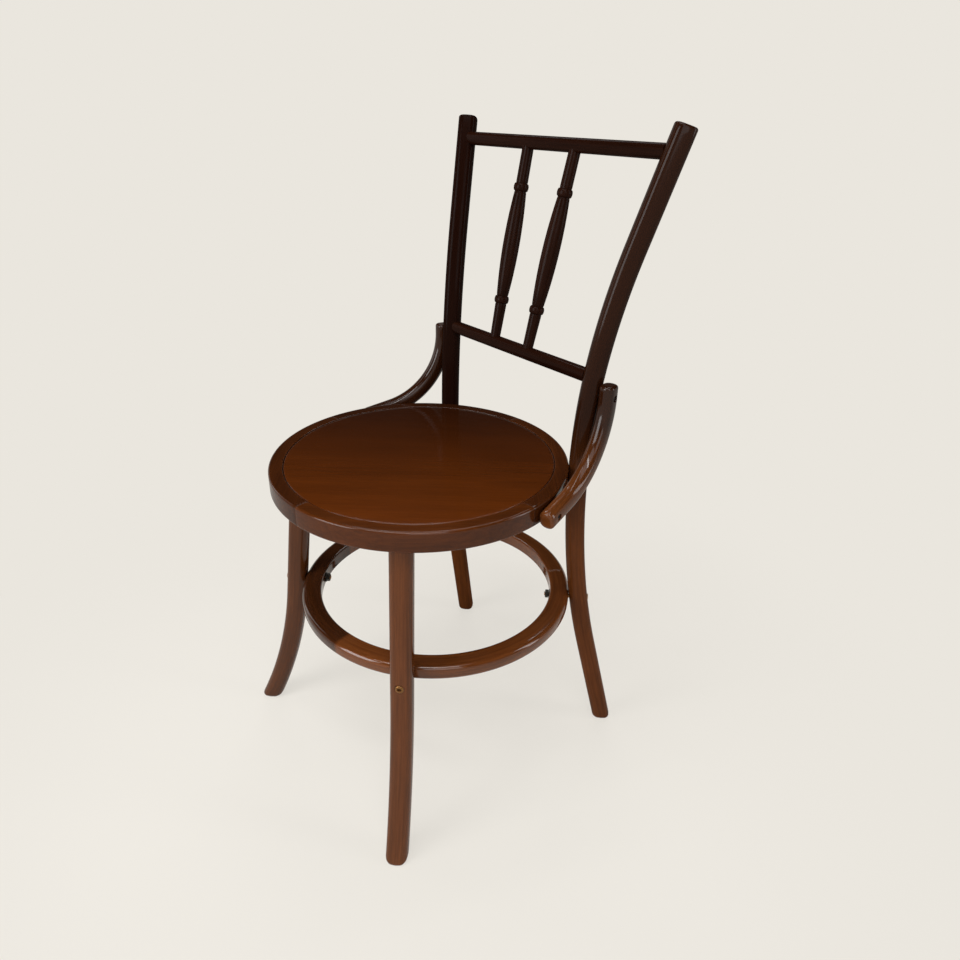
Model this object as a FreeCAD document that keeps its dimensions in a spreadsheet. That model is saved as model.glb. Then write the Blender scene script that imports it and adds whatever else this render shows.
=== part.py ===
import FreeCAD, Part
import math
import os

import Sketcher

# Bentwood cafe chair: four bent legs, a round seat of four ring segments with an inset panel,
# a foot ring inside the legs, two rails and two turned spindles in the back, and two bent hip
# braces. Millimetres and degrees. X is to the sitter's left, -Y is the front, Z is up, and the
# origin lies on the floor under the middle of the chair.

Vector = FreeCAD.Vector
Placement = FreeCAD.Placement
Rotation = FreeCAD.Rotation

SIZES = (
    # Seat
    ("seat_height", 451, "floor to the top of the seat"),
    ("seat_radius", 194.3, "outside of the seat ring"),
    ("seat_set_forward", 20.7, "seat centre in front of the middle of the chair"),
    ("ring_width", 48, "seat ring, measured along the radius"),
    ("ring_depth", 26.5, "seat ring, top to bottom"),
    ("ring_top_round", 6, "rounding of the seat's upper outside edge"),
    ("ring_under_round", 3, "rounding of the seat's lower outside edge"),
    ("rebate_width", 30, "ledge in the ring that carries the panel"),
    ("rebate_depth", 6, "depth of that ledge below the seat top"),
    ("panel_thickness", 5.6, "plywood panel"),
    ("panel_groove", 0.9, "visible groove round the panel"),
    ("panel_edge_round", 0.9, "rounding of the panel's upper edge"),
    ("seam_turn", 8, "turn of the first ring seam from the X axis"),
    ("joint_rise", 10.3, "seat ring's underside to its bolts, screws and dowels"),
    ("dowel_diameter", 8, "dowel in a ring seam"),
    ("dowel_length", 24, "dowel in a ring seam"),
    ("dowel_spread", 22, "between the two dowels of a seam"),
    # Front legs
    ("leg_side", 28, "front leg, across its flats"),
    ("leg_round", 10, "rounding of the leg's long edges"),
    ("leg_inset", 27, "from the seat's edge in to the leg's axis"),
    ("leg_azimuth", 42, "leg's place round the seat, forward of the X axis"),
    ("leg_heading", 45.1, "direction of the leg's bend, forward of the X axis"),
    ("leg_lean", 7.06, "lean of the leg's straight upper run"),
    ("leg_run", 214.6, "length of that straight run"),
    ("leg_tail", 23.7, "length of its straight end, below the bend"),
    ("leg_reach", 98.4, "sideways, from the leg's top to its unsawn end"),
    ("leg_tenon_diameter", 19, "turned tenon on top of the leg"),
    ("leg_tenon_length", 16, "height of that tenon"),
    # Rear posts
    ("post_side", 25.4, "rear post, across its flats"),
    ("post_round", 9, "rounding of the post's long edges"),
    ("post_azimuth", 47.4, "post's place round the seat, behind the X axis"),
    ("waist_drop", 13, "seat top down to where the post stands plumb"),
    ("post_horn", 26.6, "middle of the top rail to the top of the posts"),
    ("post_low_heading", 61.5, "direction of the post's bend below the waist"),
    ("post_low_run", 6, "plumb run below the waist"),
    ("post_low_tail", 181.1, "straight end below that bend"),
    ("post_low_reach", 80.2, "sideways, from the waist to the unsawn end"),
    ("post_high_heading", 54.5, "direction of the post's bend above the waist"),
    ("post_high_run", 4, "plumb run above the waist"),
    ("post_high_tail", 134.3, "straight end above that bend"),
    ("post_high_reach", 82.1, "sideways, from the waist to the top"),
    ("post_top_round", 2.5, "rounding of the post's top edge"),
    ("foot_trim", 21, "length sawn off below the floor line to level the feet"),
    ("foot_round", 6, "rounding of the sole's edge"),
    # Foot ring
    ("foot_ring_height", 237, "floor to the middle of the foot ring"),
    ("foot_ring_width", 27, "foot ring, measured along the radius"),
    ("foot_ring_depth", 20, "foot ring, top to bottom"),
    ("foot_ring_outer_round", 6.5, "rounding of its outside edges"),
    ("foot_ring_inner_round", 3, "rounding of its inside edges"),
    # Back rails
    ("low_rail_rise", 117, "seat top to the middle of the lower rail"),
    ("rail_rise", 253.4, "middle of the lower rail to the middle of the top rail"),
    ("rail_depth", 16.8, "rail, top to bottom"),
    ("rail_thickness", 17, "rail, front to back"),
    ("rail_round", 6.5, "rounding of the rail's long edges"),
    ("rail_housing", 3.5, "depth that the rail's whole end is let into the post"),
    ("rail_tenon_diameter", 11, "round tenon on the rail's end"),
    ("rail_tenon_length", 8, "length of that tenon"),
    # Spindles
    ("spindle_top_spread", 42.6, "top of a spindle, from the middle of the pair"),
    ("spindle_low_spread", 33.7, "foot of a spindle, from the middle of the pair"),
    ("spindle_top_shift", 8.3, "top of the pair, to the sitter's right of the chair's middle"),
    ("spindle_low_shift", 11.9, "foot of the pair, to the sitter's right of the chair's middle"),
    ("spindle_neck_low", 13.8, "diameter at the lower rail"),
    ("spindle_neck_top", 15, "diameter at the top rail"),
    ("spindle_collar", 15.6, "diameter beside a bead"),
    ("spindle_bead", 19.8, "diameter over a bead"),
    ("spindle_bead_width", 10, "bead, measured along the spindle"),
    ("spindle_belly", 22.4, "diameter at the middle"),
    ("spindle_low_bead_at", 58, "from the lower rail's middle to the bead"),
    ("spindle_top_bead_at", 55, "from the top rail's middle to the bead"),
    ("spindle_entry", 5, "depth of the spindle in each rail"),
    # Hip braces
    ("brace_thickness", 20, "brace, across its plane"),
    ("brace_depth", 23, "brace, in its plane"),
    ("brace_round", 8.5, "rounding of the brace's long edges"),
    ("brace_rise", 114.4, "seat top to the brace's upper end"),
    ("brace_drop", 18, "seat top down to the middle of the brace's front end"),
    ("brace_run", 15.5, "plumb run at the upper end"),
    ("brace_tail", 41.1, "straight run at the front end"),
    ("brace_lap", 14.4, "brace's length in front of where it touches the seat"),
    ("brace_advance", 4.5, "brace's upper end in front of the middle of the post"),
    ("brace_end_round", 3.5, "rounding of the brace's ends"),
    # Fasteners
    ("bolt_diameter", 6, "through bolts"),
    ("bolt_head_diameter", 11, "bolt head"),
    ("bolt_head_height", 3.6, "bolt head"),
    ("bolt_socket", 5, "hexagon socket, across its flats"),
    ("bolt_socket_depth", 2.4, "depth of the socket"),
    ("bolt_head_sink", 2.2, "depth of the head's seat below the wood's flat"),
    ("washer_diameter", 14, "washer"),
    ("washer_thickness", 1.2, "washer"),
    ("nut_flats", 10, "nut, across its flats"),
    ("nut_height", 5, "nut"),
    ("bolt_tail", 1.5, "bolt end that stands out of the nut"),
    ("screw_diameter", 4, "wood screws"),
    ("screw_head_diameter", 8, "screw head"),
    ("screw_head_height", 2.6, "screw head"),
    ("screw_sink", 4, "depth of a brace screw's seat below the wood"),
    ("screw_bite", 16, "length of a brace screw in what it holds"),
    ("tenon_screw_length", 26, "screw that locks a front leg's tenon"),
    # Fits
    ("glue_line", 0.15, "gap of a glued or butted face"),
    ("touch_gap", 0.3, "gap where two curved pieces bear on each other"),
    ("bore_clearance", 0.15, "gap round a tenon, dowel, bolt or screw, on the radius"),
)

doc = FreeCAD.newDocument("CafeChair")
sheet = doc.addObject("Spreadsheet::Sheet", "Sizes")
for row, (name, value, note) in enumerate(SIZES, start=1):
    sheet.set(f"A{row}", name)
    sheet.set(f"B{row}", str(value))
    sheet.set(f"C{row}", note)
    sheet.setAlias(f"B{row}", name)
doc.recompute()

nodes = []
NEAR = 1e-3
FINE = 1e-6


def size(name):
    """The number that a named cell of the sheet holds."""
    return float(sheet.get(name))


def worth(expression):
    """The number that an expression of the sheet's names gives."""
    result = sheet.evalExpression(expression)
    return float(getattr(result, "Value", result))


def keep(piece, label):
    """Gives a finished piece its label, which is also its file's name."""
    piece.Label = label
    nodes.append(piece)
    return piece


def on_seat(radius, azimuth, height):
    """A point at a radius and an azimuth round the seat's axis."""
    turn = math.radians(azimuth)
    return Vector(radius * math.cos(turn),
                  radius * math.sin(turn) - size("seat_set_forward"), height)


def level(azimuth):
    """The level direction at an azimuth."""
    turn = math.radians(azimuth)
    return Vector(math.cos(turn), math.sin(turn), 0)


def mirrored(azimuth, side):
    """An azimuth on the left of the chair for side 1, its mirror image for side -1."""
    return azimuth if side > 0 else 180 - azimuth


# Sketches

def new_sketch(body, name, plane, turn=0.0):
    """A sketch on one of the body's own planes, an upright one turned about the Z axis."""
    sketch = body.newObject("Sketcher::SketchObject", name)
    support = next(item for item in body.Origin.OriginFeatures if item.Role == plane)
    sketch.AttachmentSupport = [(support, "")]
    sketch.MapMode = "FlatFace"
    if turn:
        sketch.AttachmentOffset = Placement(Vector(), Rotation(Vector(0, 1, 0), turn))
    return sketch


def drive(sketch, kind, where, expression):
    """Adds a dimension to a sketch and ties it to an expression of the sheet's names."""
    value = worth(expression)
    if kind == "Angle":
        value = math.radians(value)
    index = sketch.addConstraint(Sketcher.Constraint(kind, *where, value))
    sketch.setExpression(f"Constraints[{index}]", expression)


def tie(sketch, kind, *where):
    """Adds a constraint that has no number."""
    sketch.addConstraint(Sketcher.Constraint(kind, *where))


def draw_outline(sketch, corners):
    """A closed outline through corners, anticlockwise, each (x, y) or (x, y, rise).

    The edge after a corner with a rise is an arc that stands out from its chord by the rise.
    """
    spots = [Vector(worth(corner[0]), worth(corner[1]), 0) for corner in corners]
    ends = []
    for index, corner in enumerate(corners):
        start = spots[index]
        stop = spots[(index + 1) % len(spots)]
        if len(corner) == 3:
            chord = stop.sub(start)
            outward = Vector(chord.y, -chord.x, 0).normalize()
            top = start.add(chord.multiply(0.5)).add(outward.multiply(worth(corner[2])))
            sketch.addGeometry(Part.Arc(start, top, stop), False)
        else:
            sketch.addGeometry(Part.LineSegment(start, stop), False)
        ends.append((index, 1))
    for index in range(len(corners)):
        tie(sketch, "Coincident", index, 2, (index + 1) % len(corners), 1)
    for index, corner in enumerate(corners):
        for kind, axis, expression in (("DistanceX", -2, corner[0]), ("DistanceY", -1, corner[1])):
            if expression == "0":
                tie(sketch, "PointOnObject", index, 1, axis)
            else:
                drive(sketch, kind, (-1, 1, index, 1), expression)
        if len(corner) == 3:
            following = corners[(index + 1) % len(corners)]
            half = f"(({following[1]}) - ({corner[1]})) / 2"
            drive(sketch, "Radius", (index,), f"(({half})^2 + ({corner[2]})^2) / 2 / ({corner[2]})")


def draw_rounded_rectangle(sketch, width, depth, corner):
    """A rectangle about the sketch's origin, with four equal round corners."""
    half_x = worth(width) / 2
    half_y = worth(depth) / 2
    radius = worth(corner)
    flat_x = half_x - radius
    flat_y = half_y - radius
    runs = (((-flat_x, -half_y), (flat_x, -half_y)), ((half_x, -flat_y), (half_x, flat_y)),
            ((flat_x, half_y), (-flat_x, half_y)), ((-half_x, flat_y), (-half_x, -flat_y)))
    centres = ((flat_x, -flat_y), (flat_x, flat_y), (-flat_x, flat_y), (-flat_x, -flat_y))
    for start, stop in runs:
        sketch.addGeometry(Part.LineSegment(Vector(*start, 0), Vector(*stop, 0)), False)
    for index, centre in enumerate(centres):
        circle = Part.Circle(Vector(*centre, 0), Vector(0, 0, 1), radius)
        opening = math.radians(90 * index - 90)
        sketch.addGeometry(Part.ArcOfCircle(circle, opening, opening + math.pi / 2), False)
    for index in range(4):
        tie(sketch, "Tangent", index, 2, 4 + index, 1)
        tie(sketch, "Tangent", 4 + index, 2, (index + 1) % 4, 1)
    tie(sketch, "Horizontal", 0)
    tie(sketch, "Horizontal", 2)
    tie(sketch, "Vertical", 1)
    tie(sketch, "Vertical", 3)
    for index in (5, 6, 7):
        tie(sketch, "Equal", 4, index)
    drive(sketch, "Radius", (4,), corner)
    drive(sketch, "DistanceX", (3, 1, 1, 2), width)
    drive(sketch, "DistanceY", (0, 2, 2, 1), depth)
    tie(sketch, "Symmetric", 4, 3, 6, 3, -1, 1)


def bend(lean, run, tail, reach, drop):
    """The corners of a bent rod's line: a straight run, a tangent arc and a straight tail.

    It starts at the origin and goes down, leaning outward, and ends at (reach, -drop). Seen
    along the run, the arc turns by twice the angle whose tangent is the sideways distance over
    the rest of the length and the tail.
    Returns the run's end, the arc's centre, the arc's end and the rod's end.
    """
    tilt = math.radians(lean)
    rest = drop * math.cos(tilt) + reach * math.sin(tilt) - run
    aside = reach * math.cos(tilt) - drop * math.sin(tilt)
    turn = 2 * math.atan2(aside, rest + tail)
    radius = (rest - tail * math.cos(turn)) / math.sin(turn)
    run_end = Vector(run * math.sin(tilt), -run * math.cos(tilt), 0)
    centre = run_end.add(Vector(radius * math.cos(tilt), radius * math.sin(tilt), 0))
    rod_end = Vector(reach, -drop, 0)
    heading = tilt + turn
    arc_end = rod_end.sub(Vector(tail * math.sin(heading), -tail * math.cos(heading), 0))
    return run_end, centre, arc_end, rod_end


def bend_offset(corners, drop):
    """How far a bent rod's line has moved sideways at a depth below its start."""
    run_end, centre, arc_end, rod_end = corners
    if drop <= -run_end.y:
        return run_end.x * drop / -run_end.y if run_end.y else 0.0
    if drop <= -arc_end.y:
        radius = run_end.sub(centre).Length
        return centre.x - math.sqrt(radius ** 2 - (centre.y + drop) ** 2)
    tail = rod_end.sub(arc_end)
    return arc_end.x + tail.x * (-arc_end.y - drop) / tail.y


def draw_bend(sketch, lean, run, tail, reach, drop, upward=False):
    """Draws a bent rod's line, downward from the sketch's origin or mirrored upward."""
    terms = (lean, run, tail, reach, drop)
    run_end, centre, arc_end, rod_end = bend(*(worth(term) for term in terms))
    sign = -1 if upward else 1
    for spot in (run_end, centre, arc_end, rod_end):
        spot.y *= sign
    first = math.atan2(run_end.y - centre.y, run_end.x - centre.x) % (2 * math.pi)
    last = math.atan2(arc_end.y - centre.y, arc_end.x - centre.x) % (2 * math.pi)
    near, far = (2, 1) if upward else (1, 2)
    circle = Part.Circle(centre, Vector(0, 0, 1), centre.sub(run_end).Length)
    sketch.addGeometry(Part.LineSegment(Vector(), run_end), False)
    sketch.addGeometry(Part.ArcOfCircle(circle, min(first, last), max(first, last)), False)
    sketch.addGeometry(Part.LineSegment(arc_end, rod_end), False)
    tie(sketch, "Coincident", 0, 1, -1, 1)
    tie(sketch, "Tangent", 0, 2, 1, near)
    tie(sketch, "Tangent", 1, far, 2, 1)
    drive(sketch, "Distance", (0,), run)
    if worth(lean):
        drive(sketch, "Angle", (0,), f"{lean} - 90")
    else:
        tie(sketch, "Vertical", 0)
    drive(sketch, "Distance", (2,), tail)
    drive(sketch, "DistanceX", (-1, 1, 2, 2), reach)
    heights = (-1, 1, 2, 2) if upward else (2, 2, -1, 1)
    drive(sketch, "DistanceY", heights, drop)


# Features

def revolve(body, name, sketch, angle="360"):
    """Turns a sketch about the body's Z axis, half of the angle to each side."""
    turned = body.newObject("PartDesign::Revolution", name)
    turned.Profile = sketch
    turned.ReferenceAxis = (sketch, ["V_Axis"])
    turned.Midplane = True
    turned.setExpression("Angle", angle)
    return turned


def sweep(body, name, section, path):
    """Carries a section along a bent rod's line."""
    pipe = body.newObject("PartDesign::AdditivePipe", name)
    pipe.Profile = section
    pipe.Spine = (path, ["Edge1", "Edge2", "Edge3"])
    return pipe


def round_edges(body, name, radius, wanted):
    """Rounds the edges of the body's last feature that the test picks."""
    doc.recompute()
    base = body.Tip
    names = [f"Edge{index}" for index, edge in enumerate(base.Shape.Edges, start=1) if wanted(edge)]
    rounding = body.newObject("PartDesign::Fillet", name)
    rounding.Base = (base, names)
    rounding.setExpression("Radius", radius)
    return rounding


def lies_at(height):
    """A test for edges that lie level at a height."""
    def test(edge):
        return abs(edge.BoundBox.ZMin - height) < NEAR and abs(edge.BoundBox.ZMax - height) < NEAR
    return test


def ring_edge(radius, height):
    """A test for a ring's edges at a radius and a height."""
    def test(edge):
        if not isinstance(edge.Curve, Part.Circle) or not lies_at(height)(edge):
            return False
        return abs(edge.Curve.Radius - radius) < NEAR
    return test


def end_edges(body):
    """A test for the edges of a swept body's flat end that is highest."""
    doc.recompute()
    flats = [face for face in body.Tip.Shape.Faces if isinstance(face.Surface, Part.Plane)]
    return max(flats, key=lambda face: face.CenterOfMass.z).Edges


def among(edges):
    """A test for edges that are the same as some of these."""
    return lambda edge: any(edge.isSame(other) for other in edges)


def new_body(name, base, turn=0.0):
    """A body that stands at a point, turned about the Z axis."""
    body = doc.addObject("PartDesign::Body", name)
    body.Placement = Placement(base, Rotation(Vector(0, 0, 1), turn))
    return body


def rod(name, diameter, length, start, direction):
    """A cylinder from a point in a direction."""
    cylinder = doc.addObject("Part::Cylinder", name)
    cylinder.setExpression("Radius", f"({diameter}) / 2")
    cylinder.setExpression("Height", length)
    cylinder.Placement = Placement(start, Rotation(Vector(0, 0, 1), direction))
    return cylinder


def cut(name, base, tools):
    """Takes tools away from a piece, one after another."""
    for index, tool in enumerate(tools, start=1):
        step = doc.addObject("Part::Cut", f"{name}_cut_{index}")
        step.Base = base
        step.Tool = tool
        base = step
    return base


def group(label, pieces):
    """Separate solids that share a node."""
    bundle = doc.addObject("Part::Compound", label)
    bundle.Links = pieces
    return keep(bundle, label)


# Places that several pieces share

GAP = size("touch_gap")
SEAT_UNDER = size("seat_height") - size("ring_depth")
RING_INSIDE = size("seat_radius") - size("ring_width")
LEG_TOP_RADIUS = size("seat_radius") - size("leg_inset")
POST_RADIUS = size("seat_radius") + size("post_side") / 2 + GAP

JOINT_HEIGHT = SEAT_UNDER + size("joint_rise")
WAIST_HEIGHT = size("seat_height") - size("waist_drop")
LOW_RAIL_HEIGHT = size("seat_height") + size("low_rail_rise")
TOP_RAIL_HEIGHT = LOW_RAIL_HEIGHT + size("rail_rise")
BRACE_TOP_HEIGHT = size("seat_height") + size("brace_rise")
BRACE_FRONT_HEIGHT = size("seat_height") - size("brace_drop")
BELOW_WAIST = "Sizes.seat_height - Sizes.waist_drop"
ABOVE_WAIST = "Sizes.waist_drop + Sizes.low_rail_rise + Sizes.rail_rise + Sizes.post_horn"

LEG_BEND = bend(size("leg_lean"), size("leg_run"), size("leg_tail"), size("leg_reach"),
                SEAT_UNDER - size("glue_line") + size("foot_trim"))
POST_LOW_BEND = bend(0, size("post_low_run"), size("post_low_tail"), size("post_low_reach"),
                     WAIST_HEIGHT + size("foot_trim"))
POST_HIGH_BEND = bend(0, size("post_high_run"), size("post_high_tail"), size("post_high_reach"),
                      worth(ABOVE_WAIST))


def leg_axis(height, side):
    """The front leg's axis at a height."""
    top = on_seat(LEG_TOP_RADIUS, mirrored(-size("leg_azimuth"), side), height)
    away = bend_offset(LEG_BEND, SEAT_UNDER - size("glue_line") - height)
    return top.add(level(mirrored(-size("leg_heading"), side)).multiply(away))


def post_axis(height, side):
    """The rear post's axis at a height."""
    waist = on_seat(POST_RADIUS, mirrored(size("post_azimuth"), side), height)
    below = WAIST_HEIGHT - height
    corners, heading = (POST_LOW_BEND, "post_low_heading") if below > 0 else (
        POST_HIGH_BEND, "post_high_heading")
    away = bend_offset(corners, abs(below))
    return waist.add(level(mirrored(size(heading), side)).multiply(away))


def reach_of_section(side_length, corner, turn):
    """How far a rounded square reaches from its middle, in a direction turned from its flats."""
    angle = math.radians(turn)
    flat = side_length / 2 - corner
    return flat * (abs(math.cos(angle)) + abs(math.sin(angle))) + corner


def room_inside(axis, side_length, corner, flats, middle):
    """The room from a point on the midline out to a leg, over the foot ring's outside face.

    The leg is a rounded square that leans, so its level section is a little deeper.
    """
    half = size("foot_ring_depth") / 2 - size("foot_ring_outer_round")
    low = axis(size("foot_ring_height") - half, 1)
    high = axis(size("foot_ring_height") + half, 1)
    lean = low.sub(high).Length / (2 * half)
    room = []
    for spot in (low, high):
        sight = math.degrees(math.atan2(spot.y - middle, spot.x))
        reach = reach_of_section(side_length, corner, sight - flats) * lean
        room.append(math.hypot(spot.x, spot.y - middle) - reach)
    return min(room)


def fit_foot_ring():
    """The foot ring's centre and outside radius, so that it bears on all four legs.

    Its centre is on the chair's midline, a touch gap inside the front legs and the rear posts.
    """
    low = leg_axis(size("foot_ring_height"), 1).y
    high = post_axis(size("foot_ring_height"), 1).y
    while high - low > FINE:
        middle = (low + high) / 2
        to_leg = room_inside(leg_axis, size("leg_side"), size("leg_round"),
                             -size("leg_heading"), middle)
        to_post = room_inside(post_axis, size("post_side"), size("post_round"),
                              size("post_azimuth"), middle)
        if to_leg < to_post:
            low = middle
        else:
            high = middle
    return middle, to_leg - GAP


FOOT_RING_Y, FOOT_RING_RADIUS = fit_foot_ring()


def azimuth_from_foot_ring(spot):
    """The azimuth of a point, seen from the foot ring's centre."""
    return math.degrees(math.atan2(spot.y - FOOT_RING_Y, spot.x))


def brace_plane():
    """The azimuth that the brace's plane faces, and its distance from the seat's axis.

    The plane is upright. Its inner side bears on the seat's edge and, at the brace's upper
    end, on the outside of the rear post.
    """
    post = post_axis(BRACE_TOP_HEIGHT, 1)
    post.y += size("seat_set_forward")
    bearing = math.degrees(math.atan2(post.y, post.x))
    facing = bearing / 2
    for _ in range(20):
        reach = reach_of_section(size("post_side"), size("post_round"),
                                 size("post_azimuth") - facing)
        inside = (size("seat_radius") - reach) / math.hypot(post.x, post.y)
        facing = bearing - math.degrees(math.acos(inside))
    return facing, size("seat_radius") + GAP + size("brace_thickness") / 2


BRACE_FACING, BRACE_OFFSET = brace_plane()


def brace_point(along, height, side):
    """A point in the brace's middle plane, level along from where it touches the seat."""
    facing = level(mirrored(BRACE_FACING, side))
    backward = level(mirrored(BRACE_FACING + 90, side))
    centre = on_seat(0, 0, height)
    return centre.add(facing.multiply(BRACE_OFFSET)).add(backward.multiply(along))


def brace_upright():
    """How far behind the seat contact the brace stands upright, beside the post."""
    spot = post_axis(BRACE_TOP_HEIGHT, 1)
    behind = spot.sub(brace_point(0, spot.z, 1)).dot(level(BRACE_FACING + 90))
    return behind - size("brace_advance")


BRACE_BACK = brace_upright()
BRACE_BEND = bend(0, size("brace_run"), size("brace_tail"), BRACE_BACK + size("brace_lap"),
                  BRACE_TOP_HEIGHT - BRACE_FRONT_HEIGHT)


# Fastener places, each from the head towards the point

def bolt_line(axis_point, side_length, inward, inner_face):
    """Where a bolt's head seats on the wood, its direction, and how far to its inner face."""
    seat = axis_point.sub(Vector(inward).multiply(side_length / 2 - size("bolt_head_sink")))
    return seat, inward, inner_face(seat)


def foot_ring_bolt_lines():
    """The four bolts that hold the legs to the foot ring."""
    lines = []
    for side in (1, -1):
        for axis, side_length in ((leg_axis, "leg_side"), (post_axis, "post_side")):
            spot = axis(size("foot_ring_height"), side)
            inward = level(azimuth_from_foot_ring(spot) + 180)
            inner = FOOT_RING_RADIUS - size("foot_ring_width")
            lines.append(bolt_line(spot, size(side_length), inward, lambda seat, inner=inner:
                         math.hypot(seat.x, seat.y - FOOT_RING_Y) - chord_depth(inner)))
    return lines


def post_bolt_lines():
    """The two bolts that hold the rear posts to the seat ring."""
    lines = []
    for side in (1, -1):
        azimuth = mirrored(size("post_azimuth"), side)
        spot = post_axis(JOINT_HEIGHT, side)
        lines.append(bolt_line(spot, size("post_side"), level(azimuth + 180), lambda seat:
                     math.hypot(seat.x, seat.y + size("seat_set_forward")) - chord_depth(RING_INSIDE)))
    return lines


def chord_depth(radius):
    """The distance from a ring's axis to a flat washer that bears inside the ring."""
    return math.sqrt(radius ** 2 - (size("washer_diameter") / 2) ** 2)


def bolt_tools(name, line):
    """The hole and the head's seat for one bolt."""
    seat, inward, grip = line
    start = seat.sub(Vector(inward).multiply(size("ring_depth")))
    hole = rod(f"{name}_hole", "Sizes.bolt_diameter + 2 * Sizes.bore_clearance",
               f"{grip} + 2 * Sizes.ring_depth", start, inward)
    recess = rod(f"{name}_recess", "Sizes.bolt_head_diameter + 4 * Sizes.bore_clearance",
                 "Sizes.bolt_head_height + Sizes.leg_side",
                 seat.sub(Vector(inward).multiply(size("bolt_head_height") + size("leg_side"))), inward)
    return [hole, recess]


def bolt(name, line):
    """A bolt: a round head with a hexagon socket, and a plain shank."""
    seat, inward, grip = line
    back = Vector(inward).multiply(size("bolt_head_height"))
    shank = rod(f"{name}_shank", "Sizes.bolt_diameter",
                f"Sizes.bolt_head_height + {grip} + Sizes.washer_thickness + Sizes.nut_height"
                " + Sizes.bolt_tail", seat.sub(back), inward)
    head = rod(f"{name}_head", "Sizes.bolt_head_diameter", "Sizes.bolt_head_height - Sizes.glue_line",
               seat.sub(back), inward)
    joined = doc.addObject("Part::Fuse", f"{name}_blank")
    joined.Base = head
    joined.Tool = shank
    socket = doc.addObject("Part::Prism", f"{name}_socket")
    socket.Polygon = 6
    socket.setExpression("Circumradius", "Sizes.bolt_socket / sqrt(3)")
    socket.setExpression("Height", "Sizes.bolt_socket_depth")
    socket.Placement = head.Placement
    return cut(name, joined, [socket])


def washer(name, line):
    """A washer on the wood's inner face."""
    seat, inward, grip = line
    start = seat.add(Vector(inward).multiply(grip + size("glue_line")))
    disc = rod(f"{name}_disc", "Sizes.washer_diameter", "Sizes.washer_thickness", start, inward)
    bore = rod(f"{name}_bore", "Sizes.bolt_diameter + 2 * Sizes.bore_clearance",
               "Sizes.washer_thickness", start, inward)
    return cut(name, disc, [bore])


def nut(name, line):
    """A hexagon nut on the washer."""
    seat, inward, grip = line
    start = seat.add(Vector(inward).multiply(grip + 2 * size("glue_line") + size("washer_thickness")))
    block = doc.addObject("Part::Prism", f"{name}_block")
    block.Polygon = 6
    block.setExpression("Circumradius", "Sizes.nut_flats / sqrt(3)")
    block.setExpression("Height", "Sizes.nut_height")
    block.Placement = Placement(start, Rotation(Vector(0, 0, 1), inward))
    bore = rod(f"{name}_bore", "Sizes.bolt_diameter + 2 * Sizes.bore_clearance", "Sizes.nut_height",
               start, inward)
    return cut(name, block, [bore])


def brace_screw_lines():
    """The front and the upper screw of each brace: the wood's face and the direction."""
    front = []
    upper = []
    run_end, centre, arc_end, rod_end = BRACE_BEND
    slope = (rod_end.y - arc_end.y) / (rod_end.x - arc_end.x)
    front_height = BRACE_FRONT_HEIGHT - slope * size("brace_lap")
    upper_height = BRACE_TOP_HEIGHT - size("brace_run")
    for side in (1, -1):
        inward = level(mirrored(BRACE_FACING, side) + 180)
        half = Vector(inward).multiply(size("brace_thickness") / 2)
        front.append((brace_point(0, front_height, side).sub(half), inward))
        upper.append((brace_point(BRACE_BACK, upper_height, side).sub(half), inward))
    return front, upper


def tenon_screw_lines():
    """The screw that locks each front leg's tenon, from the inside of the seat ring."""
    lines = []
    for side in (1, -1):
        azimuth = mirrored(-size("leg_azimuth"), side)
        lines.append((on_seat(RING_INSIDE, azimuth, JOINT_HEIGHT), level(azimuth)))
    return lines


def screw_tools(name, line, sink, length):
    """The hole and the sunk seat for one wood screw."""
    face, inward = line
    seat = face.add(Vector(inward).multiply(worth(sink)))
    hole = rod(f"{name}_hole", "Sizes.screw_diameter + 2 * Sizes.bore_clearance",
               f"{length} + Sizes.screw_diameter", seat, inward)
    recess = rod(f"{name}_recess", "Sizes.screw_head_diameter + 2 * Sizes.bore_clearance",
                 f"{sink} + Sizes.screw_head_diameter", seat, Vector(inward).negative())
    return [hole, recess]


def screw(name, line, sink, length):
    """A wood screw: a round head, a shank and a conical point."""
    face, inward = line
    seat = face.add(Vector(inward).multiply(worth(sink) - size("glue_line")))
    head = rod(f"{name}_head", "Sizes.screw_head_diameter", "Sizes.screw_head_height", seat,
               Vector(inward).negative())
    shank = rod(f"{name}_shank", "Sizes.screw_diameter", length, seat, inward)
    point = doc.addObject("Part::Cone", f"{name}_point")
    point.setExpression("Radius1", "Sizes.screw_diameter / 2")
    point.Radius2 = 0
    point.setExpression("Height", "Sizes.screw_diameter")
    point.Placement = Placement(seat.add(Vector(inward).multiply(worth(length))),
                                Rotation(Vector(0, 0, 1), inward))
    joined = doc.addObject("Part::MultiFuse", name)
    joined.Shapes = [head, shank, point]
    return joined


FOOT_BOLTS = foot_ring_bolt_lines()
POST_BOLTS = post_bolt_lines()
FRONT_SCREWS, UPPER_SCREWS = brace_screw_lines()
TENON_SCREWS = tenon_screw_lines()
BRACE_SCREW_LENGTH = "Sizes.brace_thickness - Sizes.screw_sink + Sizes.screw_bite"
TENON_SCREW_SINK = "Sizes.screw_head_height"


# Seat

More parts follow.
